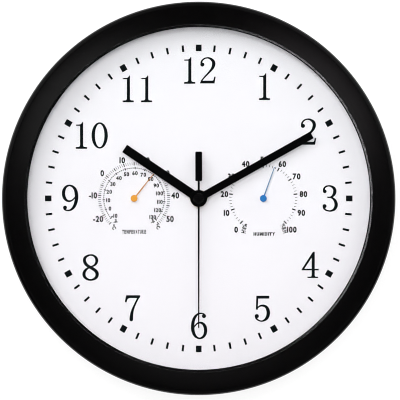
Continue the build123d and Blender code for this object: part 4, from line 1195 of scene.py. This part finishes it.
@dataclass(frozen=True)
class Lettering(Printed):
    """How words and numbers are set, in millimetres. A given width is shared out among the signs."""

    height: float
    weight: float
    width: float | None = None
    gap: float = 0.07
    narrow: float = 0.88
    cap_share: ClassVar[float] = 0.729
    gap_after_one: ClassVar[float] = 0.07
    curve_steps: ClassVar[int] = 4
    sign_shares: ClassVar[dict[str, float]] = {"M": 1.25, "I": 0.35, "%": 1.3}

    def word(self, text: str, place: Place, turn: float = 0.0) -> bmesh.types.BMesh:
        """Sets one word or number.

        Args:
            text: What it says.
            place: The middle of its outline.
            turn: Turn of the word, anticlockwise, in degrees.

        Returns:
            The shape.
        """
        shares = [self.sign_shares.get(sign, 1.0) for sign in text]
        room = self.width - self.gap * self.height * (len(text) - 1) if self.width else 0.0
        shapes = []
        end = 0.0
        for sign, share in zip(text, shares):
            shape = self.sign(sign)
            start = min(v.co.x for v in shape.verts)
            bmesh.ops.translate(shape, vec=(-start, 0, 0), verts=shape.verts)
            own_width = max(v.co.x for v in shape.verts)
            stretch = room / sum(shares) * share / own_width if self.width else self.narrow
            bmesh.ops.scale(shape, vec=(stretch, 1.0, 1.0), verts=shape.verts)
            bmesh.ops.translate(shape, vec=(end, 0, 0), verts=shape.verts)
            gap = self.gap + (self.gap_after_one if sign == "1" else 0.0)
            end = max(v.co.x for v in shape.verts) + gap * self.height
            shapes.append(shape)
        shape = joined(shapes)
        xs = [v.co.x for v in shape.verts]
        ys = [v.co.y for v in shape.verts]
        middle = Vector(((min(xs) + max(xs)) / 2, (min(ys) + max(ys)) / 2, 0.0))
        bmesh.ops.translate(shape, vec=-middle, verts=shape.verts)
        bmesh.ops.rotate(shape, matrix=Matrix.Rotation(radians(turn), 3, "Z"), verts=shape.verts)
        bmesh.ops.translate(shape, vec=(*place, self.middle), verts=shape.verts)
        return shape

    def sign(self, sign: str) -> bmesh.types.BMesh:
        """Sets one sign on its line.

        Args:
            sign: The sign.

        Returns:
            The shape.
        """
        letter = bpy.data.curves.new("type", "FONT")
        letter.body = sign
        letter.size = self.height / self.cap_share
        letter.offset = self.weight
        letter.extrude = (self.front - self.back) / 2
        letter.resolution_u = self.curve_steps
        return shape_from(final_mesh(new_object("type", letter)))


@dataclass(frozen=True)
class TickRow(Printed):
    """One row of ticks round a small scale: how many units lie between them, their two radii, their width."""

    pitch: int
    inner: float
    outer: float
    width: float

    def build(self, name: str, centre: Place, ends: tuple[int, int], angle: Callable[[float], float],
              material: bpy.types.Material) -> bmesh.types.BMesh:
        """Lays the ticks.

        Args:
            name: What they count.
            centre: The scale's centre on the dial.
            ends: The first and the last value.
            angle: Gives a value's angle in degrees, clockwise from straight up.
            material: The ink.

        Returns:
            The shape.
        """
        start, end = ends
        name = f"{name} {self.pitch} ticks"
        form = FormTree(name)
        first = form.given("First angle", radians(angle(start)))
        step = form.given("Angle between ticks", radians(angle(start + self.pitch) - angle(start)))
        inner = form.given("Inner radius", self.inner)
        outer = form.given("Outer radius", self.outer)
        turn = first + form.node("GeometryNodeInputIndex") * step
        reach = (inner + outer) * 0.5
        spot = form.vector(form.given("Centre across", centre[0]) + turn.sine() * reach,
                           form.given("Centre up", centre[1]) + turn.cosine() * reach, self.middle)
        bar = form.node("GeometryNodeMeshCube", {}, {"Size": form.vector(
            form.given("Tick width", self.width), outer - inner, self.front - self.back)})
        count = (end - start) // self.pitch + 1
        return form.grown(mesh_host(name), form.repeated(count, spot, bar, 0.0 - turn), material)


@dataclass
class SmallScale:
    """A scale printed round a small pointer. Angles in degrees, clockwise from straight up.

    The title and the units have their places across and up from the centre, and each unit has its turn too.
    """

    name: str
    centre: Place
    title: str
    title_type: Lettering
    title_place: Place
    label_shift: Place
    unit_type: Lettering
    units: Sequence[tuple[str, float, float, float]]

    def spot(self, angle: float, radius: float, shift: Place = (0.0, 0.0)) -> Place:
        """A place on this scale.

        Args:
            angle: Its angle.
            radius: Its radius.
            shift: How far it is then shifted across and up.

        Returns:
            The place on the dial.
        """
        across, up = self.centre
        turn = radians(angle)
        return across + radius * sin(turn) + shift[0], up + radius * cos(turn) + shift[1]

    def label(self, value: int, angle: float, radius: float, lettering: Lettering) -> bmesh.types.BMesh:
        """Sets one of the scale's numbers upright."""
        return lettering.word(str(value), self.spot(angle, radius, self.label_shift))

    def marks(self, ink: bpy.types.Material) -> list[bmesh.types.BMesh]:
        """Draws the scale's ticks and numbers.

        Args:
            ink: The ink.

        Returns:
            The shapes.
        """
        raise NotImplementedError

    def build(self, shop: Workshop) -> None:
        """Prints the scale, its units and its title.

        Args:
            shop: Where it is finished.
        """
        shapes = self.marks(shop.paints[Slot.INK])
        for unit, across, up, turn in self.units:
            shapes.append(self.unit_type.word(unit, self.spot(0.0, 0.0, (across, up)), turn))
        shapes.append(self.title_type.word(self.title, self.spot(0.0, 0.0, self.title_place)))
        shop.shaped(self.name, joined(shapes), Slot.INK, Body.CASE)


@dataclass
class ThermometerScale(SmallScale):
    """The printed scale of the thermometer: degrees Celsius outside, Fahrenheit inside a thin arc."""

    name: str = "thermometer_scale"
    centre: Place = THERMOMETER_CENTRE
    title: str = "TEMPERATURE"
    title_type: Lettering = Lettering(2.85, 0.22, width=18.2, gap=0.14)
    title_place: Place = (0.0, -25.5)
    label_shift: Place = (0.0, -0.5)
    unit_type: Lettering = Lettering(2.7, 0.19)
    units: Sequence[tuple[str, float, float, float]] = (
        ("°F", -14.4, -17.5, -62.0), ("°C", -15.6, -21.9, -62.0),
        ("°F", 14.0, -17.6, -50.0), ("°C", 17.9, -21.6, -50.0))
    celsius_ends: tuple[int, int] = (-25, 55)
    celsius_numbers: range = range(-20, 51, 10)
    celsius_upright: float = 15.0
    degrees_per_celsius: float = 3.4
    celsius_rows: Sequence[TickRow] = (TickRow(1, 25.35, 27.55, 0.35), TickRow(5, 25.15, 27.65, 0.72))
    celsius_type: Lettering = Lettering(4.4, 0.25)
    celsius_radius: float = 30.7
    celsius_spread: float = 0.8
    freezing: float = 32.0
    fahrenheit_per_celsius: float = 1.8
    fahrenheit_ends: tuple[int, int] = (-10, 130)
    fahrenheit_type: Lettering = Lettering(2.9, 0.19, gap=0.09, narrow=0.93)
    fahrenheit_radius: float = 19.8
    arc_radius: float = 23.2
    arc_width: float = 0.12
    fahrenheit_rows: Sequence[TickRow] = (TickRow(2, 22.75, 23.65, 0.6), TickRow(10, 22.35, 24.05, 0.85))

    def celsius_angle(self, celsius: float) -> float:
        """Angle of a temperature."""
        return (celsius - self.celsius_upright) * self.degrees_per_celsius

    def fahrenheit_angle(self, fahrenheit: float) -> float:
        """Angle of a temperature given in Fahrenheit."""
        return self.celsius_angle((fahrenheit - self.freezing) / self.fahrenheit_per_celsius)

    def marks(self, ink: bpy.types.Material) -> list[bmesh.types.BMesh]:
        """Draws the ticks, the arc and the numbers of both rows.

        Args:
            ink: The ink.

        Returns:
            The shapes.
        """
        low, high = self.fahrenheit_ends
        shapes = [row.build("celsius", self.centre, self.celsius_ends, self.celsius_angle, ink)
                  for row in self.celsius_rows]
        shapes += [row.build("fahrenheit", self.centre, self.fahrenheit_ends, self.fahrenheit_angle, ink)
                   for row in self.fahrenheit_rows]
        shapes.append(self.arc(self.fahrenheit_angle(low), self.fahrenheit_angle(high)))
        for celsius in self.celsius_numbers:
            angle = self.celsius_angle(celsius)
            radius = self.celsius_radius + self.celsius_spread * abs(sin(radians(angle)))
            shapes.append(self.label(celsius, angle, radius, self.celsius_type))
        for fahrenheit in range(low, high + 1, 10):
            shapes.append(self.label(fahrenheit, self.fahrenheit_angle(fahrenheit), self.fahrenheit_radius,
                                     self.fahrenheit_type))
        return shapes

    def arc(self, start: float, end: float, steps: int = 96) -> bmesh.types.BMesh:
        """Draws the thin arc that carries the Fahrenheit ticks.

        Args:
            start: Where it starts.
            end: Where it ends.
            steps: Straight pieces in it.

        Returns:
            The shape.
        """
        inner = self.arc_radius - self.arc_width / 2
        outer = self.arc_radius + self.arc_width / 2
        back, front = Printed.back, Printed.front
        shape = bmesh.new()
        rows = []
        for k in range(steps + 1):
            angle = start + (end - start) * k / steps
            corners = ((inner, back), (outer, back), (outer, front), (inner, front))
            rows.append([shape.verts.new((*self.spot(angle, radius), height)) for radius, height in corners])
        for before, after in zip(rows, rows[1:]):
            for k in range(4):
                shape.faces.new((before[k], before[k - 1], after[k - 1], after[k]))
        shape.faces.new(rows[0])
        shape.faces.new(rows[-1])
        return shape


@dataclass
class HygrometerScale(SmallScale):
    """The printed scale of the hygrometer, in per cent."""

    name: str = "hygrometer_scale"
    centre: Place = HYGROMETER_CENTRE
    title: str = "HUMIDITY"
    title_type: Lettering = Lettering(2.35, 0.24, width=16.4, gap=0.15)
    title_place: Place = (0.7, -27.2)
    label_shift: Place = (0.5, -0.7)
    unit_type: Lettering = Lettering(3.2, 0.2, width=7.4)
    units: Sequence[tuple[str, float, float, float]] = (
        ("%RH", -14.6, -22.9, -99.0), ("%RH", 15.7, -22.9, -69.0))
    ends: tuple[int, int] = (0, 100)
    upright: int = 50
    degrees_per_point: float = 2.75
    rows: Sequence[TickRow] = (TickRow(2, 24.2, 26.0, 0.36), TickRow(10, 23.3, 26.2, 0.95))
    label_type: Lettering = Lettering(4.3, 0.28)
    label_radius: float = 30.4
    end_label_radius: float = 31.4

    def angle(self, percent: float) -> float:
        """Angle of a humidity."""
        return (percent - self.upright) * self.degrees_per_point

    def marks(self, ink: bpy.types.Material) -> list[bmesh.types.BMesh]:
        """Draws the ticks and the numbers.

        Args:
            ink: The ink.

        Returns:
            The shapes.
        """
        dry, wet = self.ends
        shapes = [row.build("humidity", self.centre, self.ends, self.angle, ink) for row in self.rows]
        for percent in range(dry, wet + 1, 10):
            radius = self.end_label_radius if percent in self.ends else self.label_radius
            shapes.append(self.label(percent, self.angle(percent), radius, self.label_type))
        return shapes


@dataclass
class Dial:
    """The white dial plate with its printed numerals and minute track, and the hardware at its centre."""

    washer_edge: float = 0.08
    nut_edge: float = 0.15
    bush_edge: float = 0.1

    def build(self, shop: Workshop) -> None:
        """Finishes the plate, its print and what holds the movement to it.

        Args:
            shop: Where they are finished.
        """
        shop.paint_nodes({Slot.DIAL: ["dial"], Slot.INK: ["hour_numerals", "minute_marks"],
                          Slot.RUBBER: ["rubber_gasket"]})
        shop.softened("dial_washer", Slot.WASHER, Body.CASE, self.washer_edge)
        shop.softened("bush_nut", Slot.BRASS, Body.CASE, self.nut_edge)
        shop.softened("mounting_bush", Slot.BRASS, Body.CASE, self.bush_edge)


@dataclass
class Hands:
    """The three hands, stamped from sheet, and the domed cap of the second hand."""

    stamped_edge: float = 0.12
    second_hand_edge: float = 0.08
    cap_radius: float = 4.0
    cap_back: float = 28.4
    cap_front: float = 29.5
    cap_edge: float = 0.5
    cap_steps: int = 6
    cap_facets: int = 64

    def build(self, shop: Workshop) -> None:
        """Dresses the hands and caps them.

        Args:
            shop: Where they are finished.
        """
        shop.softened("hour_hand", Slot.HAND, Body.HOURS, self.stamped_edge)
        shop.softened("minute_hand", Slot.HAND, Body.MINUTES, self.stamped_edge)
        shop.softened("second_hand", Slot.HAND, Body.SECONDS, self.second_hand_edge)
        edge = self.cap_edge
        dome = quarter_round((self.cap_radius - edge, self.cap_front - edge), edge, self.cap_steps)
        section = [(0.0, self.cap_back), (self.cap_radius, self.cap_back), *dome, (0.0, self.cap_front)]
        shop.shaped("second_cap", turned_shape(section, self.cap_facets), Slot.CAP, Body.SECONDS,
                    ["second_hand_cap"])


@dataclass
class GaugePointers:
    """The pointers of the thermometer and the hygrometer, with what lies behind them."""

    pointer_edge: float = 0.05

    def build(self, shop: Workshop) -> None:
        """Dresses the pointers and what lies behind them.

        Args:
            shop: Where they are finished.
        """
        shop.softened("thermometer_pointer", Slot.ORANGE, Body.THERMOMETER, self.pointer_edge)
        shop.softened("hygrometer_pointer", Slot.BLUE, Body.HYGROMETER, self.pointer_edge)
        shop.paint_nodes({Slot.CUP: ["thermometer_housing", "hygrometer_housing"],
                          Slot.STRIP: ["thermometer_coil"], Slot.LAMINATE: ["hygrometer_coil"],
                          Slot.BRASS: ["thermometer_arbor", "hygrometer_arbor"]})


@dataclass(frozen=True)
class PanScrew:
    """A slotted pan head screw driven towards the front, with its thread."""

    radius: float
    length: float
    head_radius: float
    head_height: float
    seat: float
    edge_share: float = 0.45
    root_share: float = 0.8
    tip_share: float = 0.6
    slot_width: float = 0.8
    thread_pitch: float = 0.6
    edge_steps: int = 5
    facets: int = 40

    def shape(self) -> bmesh.types.BMesh:
        """Builds the screw, its slot across X.

        Returns:
            The shape.
        """
        top = self.seat - self.head_height
        edge = self.head_height * self.edge_share
        dome = quarter_round((self.head_radius - edge, top + edge), edge, self.edge_steps, -1)
        head = turned_shape([(0.0, self.seat), (self.head_radius, self.seat), *dome, (0.0, top)], self.facets)
        self.cut_slot(head, self.slot_width / 2, top + self.head_height / 2)
        return joined([head, turned_shape(self.thread_section(), self.facets)])

    def thread_section(self) -> list[Place]:
        """Draws the threaded shank's half section, ridge after ridge to a blunt point.

        Returns:
            Its (radius, height) points.
        """
        root = self.radius * self.root_share
        points = [(0.0, self.seat)]
        for k in range(int(self.length / self.thread_pitch) - 1):
            height = self.seat + self.thread_pitch * k
            points += [(root, height), (self.radius, height + self.thread_pitch / 2)]
        end = self.seat + self.length
        return points + [(root, end - self.thread_pitch), (root * self.tip_share, end), (0.0, end)]

    @staticmethod
    def cut_slot(head: bmesh.types.BMesh, half: float, floor: float) -> None:
        """Cuts the slot into the head.

        Args:
            head: The head.
            half: Half the slot's width.
            floor: Height of its floor.
        """
        planes = (((0, -half, 0), (0, 1, 0)), ((0, half, 0), (0, 1, 0)), ((0, 0, floor), (0, 0, 1)))
        for spot, normal in planes:
            bmesh.ops.bisect_plane(head, geom=head.verts[:] + head.edges[:] + head.faces[:],
                                   plane_co=spot, plane_no=normal)
        middles = {face: face.calc_center_median() for face in head.faces}
        doomed = [face for face, middle in middles.items() if abs(middle.y) < half and middle.z < floor]
        bmesh.ops.delete(head, geom=doomed, context="FACES")
        open_edges = [e for e in head.edges if e.is_boundary]
        rim = [e for e in open_edges if all(abs(abs(v.co.y) - half) < SAME_PLACE for v in e.verts)]
        raised = bmesh.ops.extrude_edge_only(head, edges=rim)
        for vert in (v for v in raised["geom"] if isinstance(v, bmesh.types.BMVert)):
            vert.co.z = floor
        bmesh.ops.remove_doubles(head, verts=head.verts, dist=10 * SAME_PLACE)
        bmesh.ops.holes_fill(head, edges=[e for e in head.edges if e.is_boundary], sides=0)


@dataclass
class Back:
    """What shows behind: the rear cover, the hanger plate and the screws."""

    cover_edge: float = 0.3
    plate_edge: float = 0.15
    cover_screw: PanScrew = PanScrew(1.45, 12.0, 2.8, 1.8, 3.0)
    hanger_screw: PanScrew = PanScrew(1.25, 6.0, 2.4, 1.3, 1.8)
    hanger_screw_reach: float = 13.0
    hanger_height: float = 100.0

    def build(self, shop: Workshop) -> None:
        """Dresses the back.

        Args:
            shop: Where it is finished.
        """
        shop.softened("rear_cover", Slot.CASE, Body.CASE, self.cover_edge)
        shop.softened("hanger_plate", Slot.NICKEL, Body.CASE, self.plate_edge)
        steel = shop.paints[Slot.SCREW]
        large = repeated_round(mesh_host("case screw", self.cover_screw.shape()), "case screws",
                               CaseRing.boss_count, CaseRing.boss_circle, CaseRing.boss_start, steel)
        shop.shaped("cover_screws", large, Slot.SCREW, Body.CASE, ["case_screws"])
        small = repeated_round(mesh_host("hanger screw", self.hanger_screw.shape()), "hanger screws", 2,
                               self.hanger_screw_reach, 0.0, steel)
        bmesh.ops.translate(small, vec=(0.0, self.hanger_height, 0.0), verts=small.verts)
        shop.shaped("plate_screws", small, Slot.SCREW, Body.CASE, ["hanger_screws"])


@dataclass
class Movement:
    """The battery movement: case, back, contacts, cell and setting knob, and the works inside."""

    case_edge: float = 0.2
    contact_edge: float = 0.06
    cell_edge: float = 0.1
    knob_edge: float = 0.12

    def build(self, shop: Workshop) -> None:
        """Dresses the movement.

        Args:
            shop: Where it is finished.
        """
        shop.softened("movement_case", Slot.MOVEMENT, Body.CASE, self.case_edge, convex=True)
        shop.softened("movement_back", Slot.MOVEMENT, Body.CASE, self.case_edge)
        shop.softened("contact_positive", Slot.NICKEL, Body.CASE, self.contact_edge)
        shop.softened("contact_negative", Slot.NICKEL, Body.CASE, self.contact_edge)
        shop.softened("battery", Slot.SLEEVE, Body.BATTERY, self.cell_edge)
        shop.softened("setting_knob", Slot.RED, Body.SETTER, self.knob_edge)
        shop.paint_nodes({
            Slot.ACETAL: ["middle_plate", "coil_bobbin", "seconds_wheel", "centre_wheel", "hour_wheel",
                          "rotor", "intermediate_wheel", "third_wheel", "minute_wheel", "setting_pinion"],
            Slot.LAMINATION: ["stator", "coil_core"], Slot.WIRE: ["coil_winding"],
            Slot.SCREW: ["motor_screws"], Slot.BOARD: ["circuit_board"], Slot.CAN: ["quartz_crystal"],
            Slot.RESIN: ["driver_chip"], Slot.FERRITE: ["rotor_magnet"]})


# The studio


@dataclass(frozen=True)
class Lamp:
    """A soft square light that looks at the dial's middle. Its place is across, up and away, in metres."""

    name: str
    place: Spot
    width: float
    power: float
    reach: Reach = Reach.MATT
    colour: Colour = (1.0, 1.0, 1.0)

    def build(self) -> None:
        """Hangs the lamp."""
        light = bpy.data.lights.new(self.name, "AREA")
        light.shape = "SQUARE"
        light.size = self.width
        light.energy = self.power
        light.color = self.colour
        holder = new_object(self.name, light)
        across, up, away = self.place
        holder.location = (across, -away, up)
        holder.rotation_euler = (-Vector(holder.location)).to_track_quat("-Z", "Y").to_euler()
        holder.visible_diffuse, holder.visible_glossy = self.reach.value
        holder.visible_transmission = False


@dataclass
class Studio:
    """A white wall and floor that are seen but cast no light, soft lamps, and the photograph's camera."""

    half_wall: float = 4.0
    wall_gap: float = 0.0008
    floor_drop: float = 1.2
    floor_front: float = 1.0
    sheet_tones: Place = (0.15, 0.16)
    sheet_cloud: float = 400.0
    sheet_glow: float = 0.88
    camera_distance: float = 10.0
    frame_pixels: float = 400.0
    rim_pixels: float = 196.82
    rim_millimetres: float = 150.0
    rim_height: float = 36.0
    middle_pixels: Place = (198.7, 198.4)
    sensor: float = 36.0
    clip: Place = (0.05, 100.0)
    lamps: Sequence[Lamp] = (
        Lamp("front", (-0.15, 0.35, 3.0), 1.3, 75.0),
        Lamp("key", (-1.7, 1.7, 2.6), 1.6, 46.0),
        Lamp("fill", (1.9, 1.4, 2.5), 1.6, 37.0),
        Lamp("sheen left", (-0.61, -0.51, 3.9), 0.6, 0.84, Reach.GLOSS, (1.0, 0.93, 0.97)),
        Lamp("sheen right", (0.64, -0.48, 3.9), 0.6, 0.74, Reach.GLOSS),
        Lamp("sheen top", (0.0, 0.8, 3.9), 0.6, 0.17, Reach.GLOSS),
        Lamp("back left", (-1.8, 1.2, -2.2), 1.4, 40.0, Reach.BOTH),
        Lamp("back right", (1.8, 0.6, -2.4), 1.4, 30.0, Reach.BOTH))
    world_diffuse: float = 0.19
    world_through_glass: float = 0.24
    world_mirrored: float = 0.01
    world_mirrored_behind: float = 0.75
    dark_front: Place = (-0.985, -0.93)
    bright_behind: Place = (-0.1, 0.4)
    window_fade: Place = (0.45, 1.1)
    windows: Sequence[Spot] = ((0.77, 0.64, 0.42), (-0.80, 0.60, 0.40), (0.0, -1.0, 0.10))

    def build(self) -> None:
        """Sets the wall, the floor, the lamps, the world and the camera."""
        half, gap, low, front = self.half_wall, self.wall_gap, -self.floor_drop, -self.floor_front
        self.backdrop("wall", [(-half, gap, low), (half, gap, low), (half, gap, half), (-half, gap, half)])
        floor = self.backdrop("floor", [(-half, front, low), (half, front, low), (half, half, low),
                                        (-half, half, low)])
        floor.visible_glossy = False
        for lamp in self.lamps:
            lamp.build()
        self.world()
        self.camera()

    def backdrop(self, name: str, corners: Sequence[Spot]) -> bpy.types.Object:
        """Builds one flat sheet of the set.

        Args:
            name: Its name.
            corners: Its corners in metres, anticlockwise seen from its shown side.

        Returns:
            The sheet.
        """
        mesh = bpy.data.meshes.new(name)
        mesh.from_pydata(corners, [], [(0, 1, 2, 3)])
        sheet = new_object(name, mesh)
        paint = Paint(name)
        dark, light = self.sheet_tones
        tone = paint.mixed(paint.grain(self.sheet_cloud), (dark,) * 3, (light,) * 3)
        white = paint.node("ShaderNodeBsdfDiffuse", {}, {"Color": tone})
        glow = paint.node("ShaderNodeEmission", {}, {"Color": WHITE, "Strength": self.sheet_glow})
        lit = paint.node("ShaderNodeAddShader", {}, {0: white, 1: glow})
        see_through = paint.node("ShaderNodeBsdfTransparent")
        back = paint.node("ShaderNodeNewGeometry", output="Backfacing")
        seen = paint.ray("Camera").largest(paint.ray("Glossy")).largest(paint.ray("Transmission"))
        mesh.materials.append(paint.close(
            paint.node("ShaderNodeMixShader", {}, {0: seen * (1 - back), 1: see_through, 2: lit})))
        return sheet

    def world(self) -> None:
        """Even pale light all round, white to the eye. In gloss it shows windows and a room dark in front."""
        world = bpy.data.worlds.new("studio")
        world.use_nodes = True
        world.node_tree.nodes.clear()
        graph = Graph(world.node_tree)
        direction = graph.node("ShaderNodeTexCoord", output="Generated")
        away = graph.part(direction, "Y")
        open_side = graph.rise(away, self.dark_front)
        behind = graph.rise(away, self.bright_behind)
        flat = graph.node("ShaderNodeVectorMath", {"operation": "NORMALIZE"}, {0: graph.flattened(direction)})
        sheen = self.world_mirrored
        for across, up, share in self.windows:
            sheen = sheen + graph.rise(graph.towards(flat, across, up), self.window_fade, share)
        mirrored = sheen * open_side + self.world_mirrored_behind * behind
        through = graph.ray("Transmission")
        strength = (graph.ray("Camera") + self.world_diffuse * graph.ray("Diffuse") +
                    self.world_through_glass * through * open_side +
                    graph.ray("Glossy") * (1 - through) * mirrored)
        glow = graph.node("ShaderNodeBackground", {}, {"Color": WHITE, "Strength": strength})
        graph.node("ShaderNodeOutputWorld", {}, {"Surface": glow})
        bpy.context.scene.world = world

    def camera(self) -> None:
        """Sets the camera straight in front of the clock, as far away as the photograph's flat view asks."""
        scale = self.rim_millimetres / self.rim_pixels * MM
        lens = bpy.data.cameras.new("photograph")
        lens.sensor_width = self.sensor
        lens.lens = self.sensor * self.camera_distance / (scale * self.frame_pixels)
        lens.clip_start, lens.clip_end = self.clip
        half = self.frame_pixels / 2
        across = (half - self.middle_pixels[0]) * scale
        up = (self.middle_pixels[1] - half) * scale
        holder = new_object("photograph", lens)
        holder.location = (across, -(self.camera_distance + self.rim_height * MM), up)
        holder.rotation_euler = (pi / 2, 0.0, 0.0)
        bpy.context.scene.camera = holder


def main() -> None:
    """Builds the clock around its frame, piece by piece."""
    logging.basicConfig(level=logging.INFO, format="%(name)s %(message)s")
    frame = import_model()
    scene = bpy.context.scene
    scene.view_settings.view_transform = "Standard"
    scene.cycles.filter_width = PIXEL_FILTER
    shop = Workshop(frame)
    for piece in (CaseRing(), Glazing(), Dial(), ThermometerScale(), HygrometerScale(), Hands(),
                  GaugePointers(), Back(), Movement()):
        LOG.info("building %s", type(piece).__name__)
        piece.build(shop)
    Studio().build()


if __name__ == "__main__":
    main()
